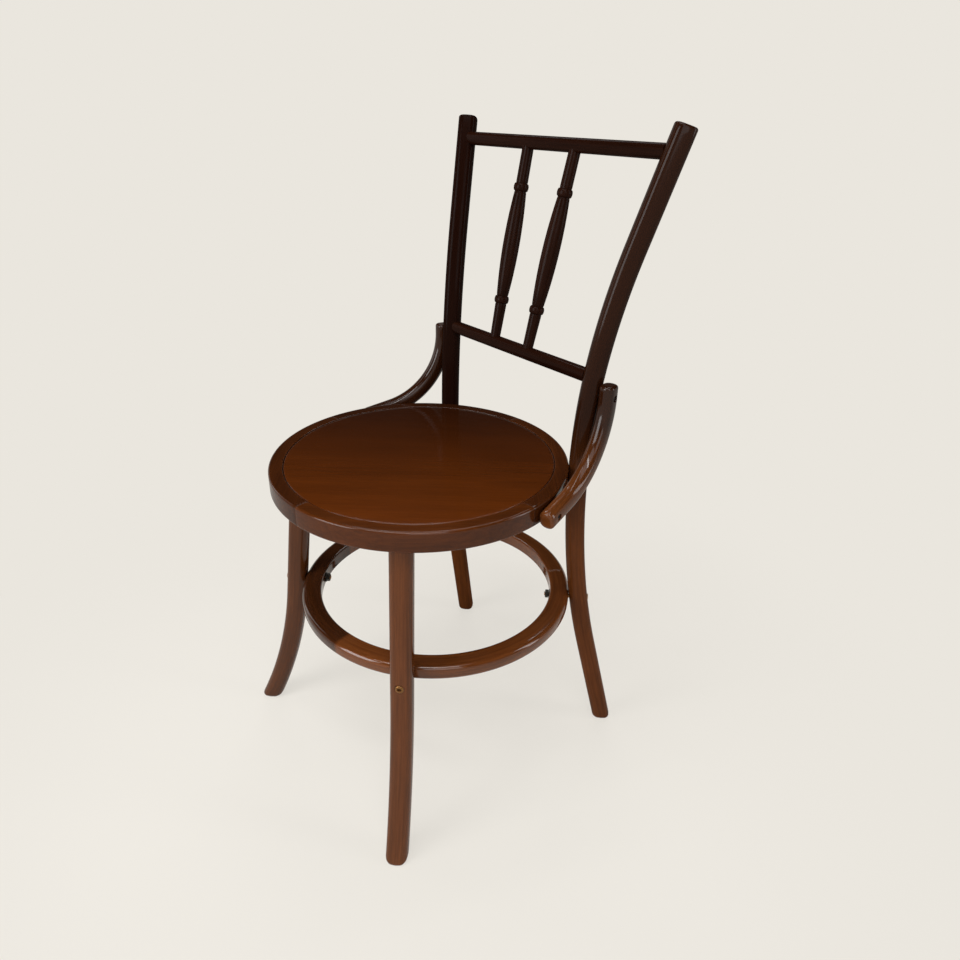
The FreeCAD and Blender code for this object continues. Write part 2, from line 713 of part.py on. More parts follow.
def seat_ring_segment(label, middle, tools):
    """A quarter of the seat ring, turned about the seat's axis."""
    body = new_body(f"{label}_body", on_seat(0, 0, 0), middle)
    profile = new_sketch(body, f"{label}_profile", "XZ_Plane")
    outer = "Sizes.seat_radius"
    inner = "Sizes.seat_radius - Sizes.ring_width"
    ledge = "Sizes.seat_radius - Sizes.ring_width + Sizes.rebate_width"
    top = "Sizes.seat_height"
    under = "Sizes.seat_height - Sizes.ring_depth"
    shelf = "Sizes.seat_height - Sizes.rebate_depth"
    draw_outline(profile, [(inner, under), (outer, under), (outer, top), (ledge, top),
                           (ledge, shelf), (inner, shelf)])
    gap = "Sizes.glue_line / Sizes.seat_radius * 180 / pi"
    revolve(body, f"{label}_turned", profile, f"90 - {gap}")
    round_edges(body, f"{label}_top_round", "Sizes.ring_top_round",
                ring_edge(size("seat_radius"), size("seat_height")))
    round_edges(body, f"{label}_under_round", "Sizes.ring_under_round",
                ring_edge(size("seat_radius"), SEAT_UNDER))
    return keep(cut(label, body, tools), label)


def seam_dowels():
    """Two dowels across each seam of the seat ring, and the bores for them."""
    pins = []
    bores = {}
    middle_radius = size("seat_radius") - size("ring_width") / 2
    for seam in range(4):
        azimuth = size("seam_turn") + 90 * seam
        bores[seam] = []
        for place in (-0.5, 0.5):
            centre = on_seat(middle_radius + place * size("dowel_spread"), azimuth,
                             JOINT_HEIGHT)
            along = level(azimuth + 90)
            for kind, slack in (("pin", 0), ("bore", 1)):
                half = size("dowel_length") / 2 + slack * size("bore_clearance")
                cylinder = rod(f"dowel_{kind}_{seam}_{'in' if place < 0 else 'out'}",
                               f"Sizes.dowel_diameter + {2 * slack} * Sizes.bore_clearance",
                               f"Sizes.dowel_length + {2 * slack} * Sizes.bore_clearance",
                               centre.sub(Vector(along).multiply(half)), along)
                if slack:
                    bores[seam].append(cylinder)
                else:
                    pins.append(cylinder)
    return pins, bores


def tenon_socket(side):
    """The blind hole in the seat ring for a front leg's tenon."""
    mouth = SEAT_UNDER - size("glue_line")
    spot = on_seat(LEG_TOP_RADIUS, mirrored(-size("leg_azimuth"), side), mouth)
    return rod(f"tenon_socket_{'left' if side > 0 else 'right'}",
               "Sizes.leg_tenon_diameter + 2 * Sizes.bore_clearance",
               "Sizes.leg_tenon_length + Sizes.glue_line", spot, Vector(0, 0, 1))


def build_seat():
    """The seat ring's four segments, the dowels in their seams, and the inset panel."""
    pins, bores = seam_dowels()
    quarters = (("seat_ring_rear_left", 0, 1), ("seat_ring_rear_right", 1, -1),
                ("seat_ring_front_right", 2, -1), ("seat_ring_front_left", 3, 1))
    for label, seam, side in quarters:
        tools = bores[seam] + bores[(seam + 1) % 4]
        index = 0 if side > 0 else 1
        if "rear" in label:
            tools = tools + bolt_tools(f"{label}_bolt", POST_BOLTS[index])[:1]
            tools = tools + screw_tools(f"{label}_screw", FRONT_SCREWS[index],
                                        "Sizes.screw_sink", BRACE_SCREW_LENGTH)[:1]
        else:
            tools = tools + [tenon_socket(side)]
            tools = tools + screw_tools(f"{label}_screw", TENON_SCREWS[index],
                                        TENON_SCREW_SINK, "Sizes.tenon_screw_length")
        seat_ring_segment(label, size("seam_turn") + 90 * seam + 45, tools)
    group("seat_ring_dowels", pins)

    body = new_body("seat_panel_body", on_seat(0, 0, 0))
    profile = new_sketch(body, "seat_panel_profile", "XZ_Plane")
    edge = "Sizes.seat_radius - Sizes.ring_width + Sizes.rebate_width - Sizes.panel_groove"
    under = "Sizes.seat_height - Sizes.rebate_depth + Sizes.glue_line"
    top = f"{under} + Sizes.panel_thickness"
    draw_outline(profile, [("0", under), (edge, under), (edge, top), ("0", top)])
    revolve(body, "seat_panel_turned", profile)
    round_edges(body, "seat_panel_edge", "Sizes.panel_edge_round",
                ring_edge(worth(edge), worth(top)))
    keep(body, "seat_panel")


# Legs

def level_foot(body, name, below):
    """Saws the swept end off at the floor and rounds the sole's edge."""
    sole = new_sketch(body, f"{name}_floor", "XY_Plane")
    sole.setExpression("AttachmentOffset.Base.z", f"-({below})")
    saw_width = "4 * Sizes.seat_radius"
    draw_rounded_rectangle(sole, saw_width, saw_width, "Sizes.seat_radius")
    saw = body.newObject("PartDesign::Pocket", f"{name}_sawn")
    saw.Profile = sole
    saw.setExpression("Length", "Sizes.foot_trim + Sizes.seat_radius")
    round_edges(body, f"{name}_sole", "Sizes.foot_round", lies_at(-worth(below)))


def front_leg(label, side):
    """A front leg: a bent, softly squared rod with a turned tenon on top."""
    index = 0 if side > 0 else 2
    top = SEAT_UNDER - size("glue_line")
    spot = on_seat(LEG_TOP_RADIUS, mirrored(-size("leg_azimuth"), side), top)
    body = new_body(f"{label}_body", spot, mirrored(-size("leg_heading"), side))
    section = new_sketch(body, f"{label}_section", "XY_Plane")
    draw_rounded_rectangle(section, "Sizes.leg_side", "Sizes.leg_side", "Sizes.leg_round")
    path = new_sketch(body, f"{label}_line", "XZ_Plane")
    below = "Sizes.seat_height - Sizes.ring_depth - Sizes.glue_line"
    draw_bend(path, "Sizes.leg_lean", "Sizes.leg_run", "Sizes.leg_tail", "Sizes.leg_reach",
              f"{below} + Sizes.foot_trim")
    sweep(body, f"{label}_bent", section, path)
    level_foot(body, label, below)
    ring = new_sketch(body, f"{label}_tenon_ring", "XY_Plane")
    ring.addGeometry(Part.Circle(Vector(), Vector(0, 0, 1), size("leg_tenon_diameter") / 2), False)
    tie(ring, "Coincident", 0, 3, -1, 1)
    drive(ring, "Diameter", (0,), "Sizes.leg_tenon_diameter")
    tenon = body.newObject("PartDesign::Pad", f"{label}_tenon")
    tenon.Profile = ring
    tenon.setExpression("Length", "Sizes.leg_tenon_length")
    tools = bolt_tools(f"{label}_bolt", FOOT_BOLTS[index])
    tools += screw_tools(f"{label}_lock", TENON_SCREWS[index // 2], TENON_SCREW_SINK,
                         "Sizes.tenon_screw_length")[:1]
    return keep(cut(label, body, tools), label)


def rear_post(label, side, housings):
    """A rear post: one rod from foot to top, bent outward below and above the seat."""
    index = 0 if side > 0 else 1
    azimuth = mirrored(size("post_azimuth"), side)
    body = new_body(f"{label}_body", on_seat(POST_RADIUS, azimuth, WAIST_HEIGHT), azimuth)
    section = new_sketch(body, f"{label}_section", "XY_Plane")
    draw_rounded_rectangle(section, "Sizes.post_side", "Sizes.post_side", "Sizes.post_round")
    turns = {}
    for name in ("post_low_heading", "post_high_heading"):
        turns[name] = side * (size(name) - size("post_azimuth"))
    low = new_sketch(body, f"{label}_low_line", "XZ_Plane", turns["post_low_heading"])
    draw_bend(low, "0", "Sizes.post_low_run", "Sizes.post_low_tail", "Sizes.post_low_reach",
              f"{BELOW_WAIST} + Sizes.foot_trim")
    sweep(body, f"{label}_low_bent", section, low)
    high = new_sketch(body, f"{label}_high_line", "XZ_Plane", turns["post_high_heading"])
    draw_bend(high, "0", "Sizes.post_high_run", "Sizes.post_high_tail", "Sizes.post_high_reach",
              ABOVE_WAIST, upward=True)
    sweep(body, f"{label}_high_bent", section, high)
    level_foot(body, label, BELOW_WAIST)
    round_edges(body, f"{label}_top", "Sizes.post_top_round", among(end_edges(body)))
    tools = bolt_tools(f"{label}_foot_bolt", FOOT_BOLTS[2 * index + 1])
    tools += bolt_tools(f"{label}_seat_bolt", POST_BOLTS[index])
    tools += screw_tools(f"{label}_screw", UPPER_SCREWS[index], "Sizes.screw_sink",
                         BRACE_SCREW_LENGTH)[:1]
    return keep(cut(label, body, tools + housings), label)


def foot_ring():
    """The bent ring that ties the four legs."""
    body = new_body("foot_ring_body", Vector(0, FOOT_RING_Y, size("foot_ring_height")))
    profile = new_sketch(body, "foot_ring_profile", "XZ_Plane")
    draw_rounded_band(profile)
    revolve(body, "foot_ring_bent", profile)
    half = size("foot_ring_depth") / 2
    for place, radius, rounding in (("outer", FOOT_RING_RADIUS, "Sizes.foot_ring_outer_round"),
                                    ("inner", FOOT_RING_RADIUS - size("foot_ring_width"),
                                     "Sizes.foot_ring_inner_round")):
        for edge, height in (("top", half), ("under", -half)):
            round_edges(body, f"foot_ring_{place}_{edge}", rounding, ring_edge(radius, height))
    tools = []
    for index, line in enumerate(FOOT_BOLTS):
        tools += bolt_tools(f"foot_ring_bolt_{index}", line)[:1]
    return keep(cut("foot_ring", body, tools), "foot_ring")


def draw_rounded_band(sketch):
    """The foot ring's section, before its edges are rounded."""
    outer = FOOT_RING_RADIUS
    half = size("foot_ring_depth") / 2
    inner = outer - size("foot_ring_width")
    spots = [Vector(inner, -half, 0), Vector(outer, -half, 0), Vector(outer, half, 0),
             Vector(inner, half, 0)]
    for index in range(4):
        sketch.addGeometry(Part.LineSegment(spots[index], spots[(index + 1) % 4]), False)
    for index in range(4):
        tie(sketch, "Coincident", index, 2, (index + 1) % 4, 1)
    for index, kind in ((0, "Horizontal"), (2, "Horizontal"), (3, "Vertical")):
        tie(sketch, kind, index)
    tie(sketch, "Symmetric", 1, 1, 1, 2, -1)
    sketch.addConstraint(Sketcher.Constraint("DistanceX", -1, 1, 1, 1, outer))
    drive(sketch, "DistanceX", (0, 1, 0, 2), "Sizes.foot_ring_width")
    drive(sketch, "DistanceY", (1, 1, 1, 2), "Sizes.foot_ring_depth")


# Back

def rail(name, height, slack):
    """A rail between the posts, or with slack the room that it needs in them.

    A softly squared bar whose ends are let into the posts, with a round tenon beyond.
    """
    post = post_axis(height, 1)
    face = post.x - reach_of_section(size("post_side"), size("post_round"), size("post_azimuth"))
    shoulder = face + size("rail_housing")
    body = new_body(f"{name}_body", Vector(0, post.y, height))
    section = new_sketch(body, f"{name}_section", "YZ_Plane")
    grow = f"{2 * slack} * Sizes.bore_clearance"
    draw_rounded_rectangle(section, f"Sizes.rail_thickness + {grow}", f"Sizes.rail_depth + {grow}",
                           f"Sizes.rail_round + {slack} * Sizes.bore_clearance")
    bar = body.newObject("PartDesign::Pad", f"{name}_bar")
    bar.Profile = section
    bar.Midplane = True
    bar.setExpression("Length", f"2 * {shoulder} + {grow}")
    ring = new_sketch(body, f"{name}_tenon_ring", "YZ_Plane")
    ring.addGeometry(Part.Circle(Vector(), Vector(0, 0, 1), size("rail_tenon_diameter") / 2), False)
    tie(ring, "Coincident", 0, 3, -1, 1)
    drive(ring, "Diameter", (0,), f"Sizes.rail_tenon_diameter + {grow}")
    tenon = body.newObject("PartDesign::Pad", f"{name}_tenons")
    tenon.Profile = ring
    tenon.Midplane = True
    tenon.setExpression("Length", f"2 * {shoulder} + 2 * Sizes.rail_tenon_length + {grow}")
    return body


def spindle_ends(side):
    """Where a spindle's axis meets the middles of the lower and the top rail."""
    low = post_axis(LOW_RAIL_HEIGHT, 1)
    top = post_axis(TOP_RAIL_HEIGHT, 1)
    low.x = side * size("spindle_low_spread") - size("spindle_low_shift")
    top.x = side * size("spindle_top_spread") - size("spindle_top_shift")
    return low, top


def spindle(label, side):
    """A turned spindle: slim necks, two beads and a long belly between them."""
    low, top = spindle_ends(side)
    span = top.sub(low)
    length = span.Length
    entry = "(Sizes.rail_depth / 2 - Sizes.spindle_entry)"
    body = doc.addObject("PartDesign::Body", f"{label}_body")
    body.Placement = Placement(low, Rotation(Vector(0, 0, 1), span))
    profile = new_sketch(body, f"{label}_profile", "XZ_Plane")
    half = "Sizes.spindle_bead_width / 2"
    collar = "Sizes.spindle_collar / 2"
    bead_rise = "(Sizes.spindle_bead - Sizes.spindle_collar) / 2"
    belly_rise = "(Sizes.spindle_belly - Sizes.spindle_collar) / 2"
    low_bead = "Sizes.spindle_low_bead_at"
    top_bead = f"({length} - Sizes.spindle_top_bead_at)"
    draw_outline(profile, [
        ("0", entry),
        ("Sizes.spindle_neck_low / 2", entry),
        (collar, f"{low_bead} - {half}", bead_rise),
        (collar, f"{low_bead} + {half}", belly_rise),
        (collar, f"{top_bead} - {half}", bead_rise),
        (collar, f"{top_bead} + {half}"),
        ("Sizes.spindle_neck_top / 2", f"{length} - {entry}"),
        ("0", f"{length} - {entry}"),
    ])
    revolve(body, f"{label}_turned", profile)
    return keep(body, label)


def spindle_socket(name, side, at_top):
    """The hole in a rail for a spindle's end."""
    low, top = spindle_ends(side)
    inward = top.sub(low) if at_top else low.sub(top)
    inward.normalize()
    middle = top if at_top else low
    diameter = "Sizes.spindle_neck_top" if at_top else "Sizes.spindle_neck_low"
    back = size("rail_depth") / 2 - size("spindle_entry") - size("glue_line")
    bottom = middle.sub(Vector(inward).multiply(back))
    return rod(name, f"{diameter} + 2 * Sizes.bore_clearance", "Sizes.rail_depth", bottom,
               Vector(inward).negative())


def build_back():
    """The rails, the spindles between them, and the rails' housings in the posts."""
    housings = []
    for label, height, at_top in (("lower_rail", LOW_RAIL_HEIGHT, False),
                                  ("top_rail", TOP_RAIL_HEIGHT, True)):
        bar = rail(label, height, 0)
        sockets = [spindle_socket(f"{label}_socket_{side + 1}", side, at_top) for side in (1, -1)]
        keep(cut(label, bar, sockets), label)
        housings.append(rail(f"{label}_room", height, 1))
    spindle("spindle_left", 1)
    spindle("spindle_right", -1)
    return housings


# Hip braces

def brace(label, side):
    """A bent brace from the seat's edge up to the outside of the rear post."""
    index = 0 if side > 0 else 1
    spot = brace_point(BRACE_BACK, BRACE_TOP_HEIGHT, side)
    forward = mirrored(BRACE_FACING - 90, side)
    body = new_body(f"{label}_body", spot, forward)
    section = new_sketch(body, f"{label}_section", "XY_Plane")
    draw_rounded_rectangle(section, "Sizes.brace_depth", "Sizes.brace_thickness", "Sizes.brace_round")
    path = new_sketch(body, f"{label}_line", "XZ_Plane")
    draw_bend(path, "0", "Sizes.brace_run", "Sizes.brace_tail", f"{BRACE_BACK} + Sizes.brace_lap",
              "Sizes.brace_rise + Sizes.brace_drop")
    sweep(body, f"{label}_bent", section, path)
    doc.recompute()
    flats = [face for face in body.Tip.Shape.Faces if isinstance(face.Surface, Part.Plane)
             and face.Area > size("brace_depth") * size("brace_thickness") / 2]
    ends = sorted(flats, key=lambda face: face.CenterOfMass.z)
    round_edges(body, f"{label}_ends", "Sizes.brace_end_round", among(ends[0].Edges + ends[-1].Edges))
    tools = screw_tools(f"{label}_front", FRONT_SCREWS[index], "Sizes.screw_sink", BRACE_SCREW_LENGTH)
    tools += screw_tools(f"{label}_upper", UPPER_SCREWS[index], "Sizes.screw_sink", BRACE_SCREW_LENGTH)
    return keep(cut(label, body, tools), label)


def build_fasteners():
    """Bolts, washers, nuts and screws, alike ones together."""
    for place, lines in (("foot_ring", FOOT_BOLTS), ("post", POST_BOLTS)):
        for kind, maker in (("bolts", bolt), ("washers", washer), ("nuts", nut)):
            pieces = [maker(f"{place}_{kind}_{index}", line) for index, line in enumerate(lines)]
            group(f"{place}_{kind}", pieces)
    for label, lines, sink, length in (
            ("brace_front_screws", FRONT_SCREWS, "Sizes.screw_sink", BRACE_SCREW_LENGTH),
            ("brace_upper_screws", UPPER_SCREWS, "Sizes.screw_sink", BRACE_SCREW_LENGTH),
            ("leg_tenon_screws", TENON_SCREWS, TENON_SCREW_SINK, "Sizes.tenon_screw_length")):
        group(label, [screw(f"{label}_{index}", line, sink, length)
                      for index, line in enumerate(lines)])


build_seat()
foot_ring()
post_housings = build_back()
front_leg("front_leg_left", 1)
front_leg("front_leg_right", -1)
rear_post("rear_post_left", 1, post_housings)
rear_post("rear_post_right", -1, post_housings)
brace("hip_brace_left", 1)
brace("hip_brace_right", -1)
build_fasteners()
doc.recompute()

for item in doc.Objects:
    if "Invalid" in item.State or "Error" in item.State:
        raise RuntimeError(f"{item.Name} failed: {item.State}")
for piece in nodes:
    if piece.Shape.isNull() or not piece.Shape.isValid():
        raise RuntimeError(f"{piece.Label} has no valid shape")

os.makedirs("parts", exist_ok=True)
for piece in nodes:
    piece.Shape.exportStep(f"parts/{piece.Label}.step")
    box = piece.Shape.BoundBox
    print(f"{piece.Label}: {len(piece.Shape.Solids)} solids, {piece.Shape.Volume / 1000:.1f} cm3, "
          f"x {box.XMin:.1f}..{box.XMax:.1f} y {box.YMin:.1f}..{box.YMax:.1f} "
          f"z {box.ZMin:.1f}..{box.ZMax:.1f}")
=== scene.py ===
import math

import bpy
import numpy as np
from bpy.props import FloatProperty, FloatVectorProperty, PointerProperty
from mathutils import Matrix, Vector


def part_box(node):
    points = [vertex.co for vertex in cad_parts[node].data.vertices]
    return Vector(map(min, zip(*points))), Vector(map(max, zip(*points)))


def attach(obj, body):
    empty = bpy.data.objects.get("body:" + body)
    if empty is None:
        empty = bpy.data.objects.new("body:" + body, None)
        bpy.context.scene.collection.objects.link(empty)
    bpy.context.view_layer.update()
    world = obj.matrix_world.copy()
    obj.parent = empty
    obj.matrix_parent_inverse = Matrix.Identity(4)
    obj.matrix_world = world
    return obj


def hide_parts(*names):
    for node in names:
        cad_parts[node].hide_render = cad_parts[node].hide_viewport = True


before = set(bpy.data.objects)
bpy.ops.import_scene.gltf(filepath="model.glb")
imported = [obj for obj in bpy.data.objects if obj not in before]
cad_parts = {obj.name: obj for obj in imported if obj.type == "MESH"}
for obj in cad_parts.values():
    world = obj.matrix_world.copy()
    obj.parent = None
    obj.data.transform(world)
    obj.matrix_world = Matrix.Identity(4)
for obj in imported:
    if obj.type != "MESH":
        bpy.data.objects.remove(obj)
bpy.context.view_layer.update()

bl_info = {
    "name": "Bentwood cafe chair",
    "version": (1, 0, 0),
    "blender": (4, 5, 0),
    "location": "View3D > Sidebar > Chair",
    "description": "Finished surfaces and lacquered beech for a bentwood cafe chair",
    "category": "Object",
}

MM = 0.001
TURN = 2 * math.pi
UP = np.array([0.0, 0.0, 1.0])
# The sitter's two sides, by name and by the sign of X.
SIDES = (("left", 1), ("right", -1))
# Edges that turn by more than this many degrees are drawn sharp.
SHARP_TURN = 38.0
# How many points a rod's line is tried at, to find a hole on it or the place at a height.
COARSE, FINE = 400, 4000
# The block of grid that makes room for a hole reaches this many of the hole's radii.
BLOCK_REACH = 1.55
# Each piece is cut from its own stretch of wood: the pattern moves by this much, in metres.
WOOD_STEP = 0.9

# Millimetres and degrees, the same as in the solids. The chair faces -Y and stands on Z = 0.
SEAT_TOP = 451.0
RING_UNDER = 424.5
SEAT_FORWARD = 20.7
SEAT_RADIUS = 194.3
RING_WIDTH = 48.0
REBATE_WIDTH = 30.0
REBATE_DEPTH = 6.0
PANEL_THICKNESS = 5.6
SEAM_TURN = 8.0
JOINT_HEIGHT = 434.8
WAIST_HEIGHT = 438.0
LOW_RAIL_HEIGHT = 568.0
TOP_RAIL_HEIGHT = 821.4
POST_HORN = 26.6
FOOT_TRIM = 21.0
FOOT_RING_HEIGHT = 237.0
BRACE_TOP = 565.4
BRACE_FRONT = 433.0
BRACE_LAP = 14.4
BRACE_ADVANCE = 4.5
TOUCH_GAP = 0.3
GLUE_LINE = 0.15
LEG = {"side": 28.0, "inset": 27.0, "azimuth": -42.0, "heading": -45.1, "lean": 7.06,
       "run": 214.6, "tail": 23.7, "reach": 98.4}
POST = {"side": 25.4, "azimuth": 47.4, "top_round": 2.5}
POST_LOW = {"heading": 61.5, "run": 6.0, "tail": 181.1, "reach": 80.2}
POST_HIGH = {"heading": 54.5, "run": 4.0, "tail": 134.3, "reach": 82.1}
BRACE = {"thickness": 20.0, "depth": 23.0, "round": 8.5, "run": 15.5, "tail": 41.1,
         "end_round": 3.5}
FOOT_RING = {"width": 27.0, "depth": 20.0, "outer_round": 6.5, "inner_round": 3.0}
RAIL = {"depth": 16.8, "thickness": 17.0, "round": 6.5, "housing": 3.5}
# Each spindle's distance from the pair's middle, and the pair's shift to the sitter's right.
SPINDLES = {"low": (33.7, 11.9), "top": (42.6, 8.3)}
# A spindle's beads, measured from its lower and its upper end, its belly and its necks' radii.
SPINDLE = {"low_bead": 58.0, "top_bead": 55.0, "bead_half": 5.0, "bead_rise": 2.1,
           "belly_rise": 3.4, "radii": (6.9, 7.8, 7.8, 7.5), "quirk": 0.45, "inside": 5.0}
BOLT = {"shank": 6.0, "head": 11.0, "head_height": 3.6, "socket": 5.0, "socket_depth": 2.4,
        "sink": 2.2, "recess": 11.6}
WASHER = {"across": 14.0, "thick": 1.2}
NUT = {"flats": 10.0, "height": 5.0, "tail": 1.5}
SCREW = {"head": 8.0, "sink": 4.0, "recess": 8.3, "bite": 16.0, "tenon_shank": 26.0,
         "tenon_stand": 2.6, "pitch": 1.6}

# Looks read from the photo. A tone goes from 0, the piece's own stain, to 1, the dark stain. Most
# tones below paint shade onto the wood; the seat ring's are partly the quarters' own stain.
DARK_STAIN_AND_SHADE = "#1b0b06"
# The way the panel's veneer runs, and its painted shade: the side on which it is painted darker,
# and how dark it gets there.
VENEER_TURN = 50.0
PANEL_SHADE_SIDE = 140.0
PANEL_SHADE = 0.8
# Each seat ring quarter's tone: partly the quarter's own stain, partly painted shade.
QUARTER_TONES_AND_SHADE = (("seat_ring_rear_left", 0.5), ("seat_ring_rear_right", 0.75),
                 ("seat_ring_front_right", 0.6), ("seat_ring_front_left", 0.22))
# The front legs differ by this tone: the right one is painted darker, as painted shade, since the
# photo's right one is darker.
LEG_SHADE_STEP = 0.3
# The height in metres at which a post's painted shade starts to darken its stain, and how dark it
# gets over the fade's length.
POST_SHADE_FADE = {"left": (0.3, 0.9), "right": (0.22, 1.0)}
POST_SHADE_LENGTH = 0.24
# The foot ring is one tone between two azimuths, where the seat's shadow is painted on it, and
# another all round the rest.
FOOT_RING_SHADOW_TONES = {"from": -160, "to": -78, "between": 0.75, "rest": 0.12}
# The left brace is painted darker upward from a height in metres, and the right one dark all
# along, as painted shade.
BRACE_SHADE_TONES = {"start": 0.452, "length": 0.075, "left": 0.88, "right": 0.85}

# The camera solved from the photo: its place in metres and its angles in degrees.
CAMERA = {"spot": (0.71264, -0.50102, 0.85838), "azimuth": 50.76, "elevation": 27.26,
          "roll": 1.277}
LAMPS_AIM = np.array([0.0, -0.02, 0.45])
# Each lamp's place and size in metres, the setting that holds its power, and its share of it.
LAMPS = (("softbox_overhead", (0.5, -0.7, 2.3), (1.5, 1.5), "overhead", 1),
         ("softbox_front", (-0.3, -2.4, 1.3), (1.2, 1.6), "front", 1),
         ("softbox_camera", (2.0, -1.2, 1.6), (1.2, 1.2), "side", 2),
         ("strip_above_near", (0.45, -0.75, 2.2), (1.8, 0.1), "strip", 1.8),
         ("strip_above_far", (-0.3, 0.1, 2.2), (1.8, 0.1), "strip", 1),
         ("softbox_back", (-1.25, 1.05, 2.2), (1.3, 0.4), "side", 2),
         ("strip_left", (-1.9, -0.9, 1.2), (0.4, 1.6), "side", 0.6),
         ("strip_right", (1.6, 1.3, 1.2), (0.4, 1.6), "side", 2))
# How much of the floor's look near the chair is lit paint, and the distances from the middle,
# in metres, between which it turns to the plain backdrop.
FLOOR_SHADE = 0.25
FLOOR_FADE = (0.3, 0.9)
FLOOR_HALF = 9


# Settings

def linear(code):
    """An sRGB hex colour as linear red, green, blue and alpha."""
    shares = [int(code[first:first + 2], 16) / 255 for first in (1, 3, 5)]
    return [share / 12.92 if share <= 0.04045 else ((share + 0.055) / 1.055) ** 2.4
            for share in shares] + [1.0]


def length_setting(name, description, millimetres):
    """A length that the user may change, in metres."""
    return FloatProperty(name=name, description=description, default=millimetres * MM,
                         min=0.0, unit="LENGTH", precision=5)


def colour_setting(name, description, code):
    """A colour that the user may change."""
    return FloatVectorProperty(name=name, description=description, size=4, subtype="COLOR",
                               min=0.0, max=1.0, default=linear(code))


class ChairSizes(bpy.types.PropertyGroup):
    """Roundings and small forms that the solids leave plain."""
    leg_round: length_setting("Leg rounding", "Radius of the legs' long edges", 10.0)
    post_round: length_setting("Post rounding", "Radius of the posts' long edges", 9.0)
    crown: length_setting("Crown", "How far the sanded flats of legs and posts swell", 0.35)
    foot_round: length_setting("Foot rounding", "Rounding round the sole of each foot", 6.0)
    ring_top_round: length_setting("Seat edge rounding", "Upper outside edge of the seat", 3.0)
    ring_under_round: length_setting("Seat under rounding", "Lower outside edge of the seat", 3.0)
    seam_arris: length_setting("Seam arris", "Softened arris at the seat ring's seams", 0.22)
    panel_groove: length_setting("Panel groove", "Gap round the seat panel", 0.9)
    panel_round: length_setting("Panel rounding", "Rounding of the panel's edge", 1.1)


class ChairColours(bpy.types.PropertyGroup):
    """Stain, metal and backdrop colours."""
    panel: colour_setting("Panel stain", "Seat panel", "#522506")
    ring: colour_setting("Ring stain", "Seat ring", "#4f260a")
    legs: colour_setting("Leg stain", "Legs, lower posts and foot ring", "#5a3014")
    # The back stain is painted shade: the same beech as the legs, drawn near-black where the back
    # falls in shade.
    back: colour_setting("Back stain", "Upper posts, rails and spindles", "#1d0c06")
    bronze: colour_setting("Bronzed steel", "Bolt heads", "#86603a")
    zinc: colour_setting("Zinc", "Washers and nuts", "#302d29")
    backdrop: colour_setting("Backdrop", "Floor and background", "#eae6de")


class ChairStage(bpy.types.PropertyGroup):
    """Camera and light."""
    lens: FloatProperty(name="Lens", description="Focal length on a 36 mm sensor", default=27.0)
    overhead: FloatProperty(name="Overhead light", description="Power of the softbox above",
                            default=17.0, unit="POWER")
    front: FloatProperty(name="Front light", description="Power of the softbox in front",
                         default=46.0, unit="POWER")
    strip: FloatProperty(name="Strips", description="Power of each narrow strip above",
                         default=6.0, unit="POWER")
    side: FloatProperty(name="Side lights", description="Power of each tall side light",
                        default=6.0, unit="POWER")
    sky: FloatProperty(name="Sky", description="Strength of the room's plain light", default=0.55)


# Shapes as arrays. Every length below here is in metres.

def direction(azimuth):
    """The level unit vector at an azimuth: (cos, sin, 0)."""
    turn = math.radians(azimuth)
    return np.array([math.cos(turn), math.sin(turn), 0.0])


def mirrored(azimuth, side):
    """An azimuth on the sitter's left for side 1, and its mirror image for side -1."""
    return azimuth if side > 0 else 180 - azimuth


def on_seat(radius, azimuth, height):
    """A point round the seat's axis, from millimetres."""
    spot = radius * direction(azimuth)
    return MM * np.array([spot[0], spot[1] - SEAT_FORWARD, height])


def outline(corners, arc_steps=7, flat_step=0.004, crown=0.0):
    """A closed outline, anticlockwise, through corners (x, y, radius).

    Each corner is an arc about corner - radius (n1 + n2) / (1 + n1 n2), where n1 and n2 are its
    edges' outward normals, and a point of it is centre + radius (cos a, sin a). A negative
    radius hollows a corner that turns inward. Flats swell by crown (1 - t^2), t from -1 to 1.
    Returns the length walked at each point, the points and their normals, as columns.
    """
    spots = np.array([corner[:2] for corner in corners], float)
    radii = [corner[2] for corner in corners]
    edges = np.roll(spots, -1, axis=0) - spots
    normals = np.stack([edges[:, 1], -edges[:, 0]], 1)
    normals /= np.linalg.norm(normals, axis=1)[:, None]
    points = []
    facings = []
    arcs = []
    for index, radius in enumerate(radii):
        n1 = normals[index - 1]
        n2 = normals[index]
        centre = spots[index] - radius * (n1 + n2) / (1 + n1 @ n2)
        first = math.atan2(n1[1], n1[0])
        sweep_angle = (math.atan2(n2[1], n2[0]) - first + math.pi) % TURN - math.pi
        angles = first + sweep_angle * np.linspace(0, 1, arc_steps + 1)
        facing = np.stack([np.cos(angles), np.sin(angles)], 1)
        arcs.append((centre + radius * facing, facing))
    for index, (arc, facing) in enumerate(arcs):
        points.append(arc)
        facings.append(facing)
        start = arc[-1]
        stop = arcs[(index + 1) % len(arcs)][0][0]
        count = max(2, int(np.linalg.norm(stop - start) / flat_step) + 1)
        share = np.linspace(0, 1, count + 1)[1:-1, None]
        swell = crown * (1 - (2 * share - 1) ** 2)
        points.append(start + share * (stop - start) + swell * normals[index])
        facings.append(np.repeat(normals[index][None], count - 1, 0))
    points = np.concatenate(points)
    facings = np.concatenate(facings)
    steps = np.linalg.norm(np.roll(points, -1, axis=0) - points, axis=1)
    walked = np.concatenate([[0.0], np.cumsum(steps)])
    return walked, points, facings


def rounded_bar(width, depth, radius, **options):
    """The outline of a bar with equal round corners, about its middle."""
    x = width / 2
    y = depth / 2
    return outline([(x, -y, radius), (x, y, radius), (-x, y, radius), (-x, -y, radius)], **options)


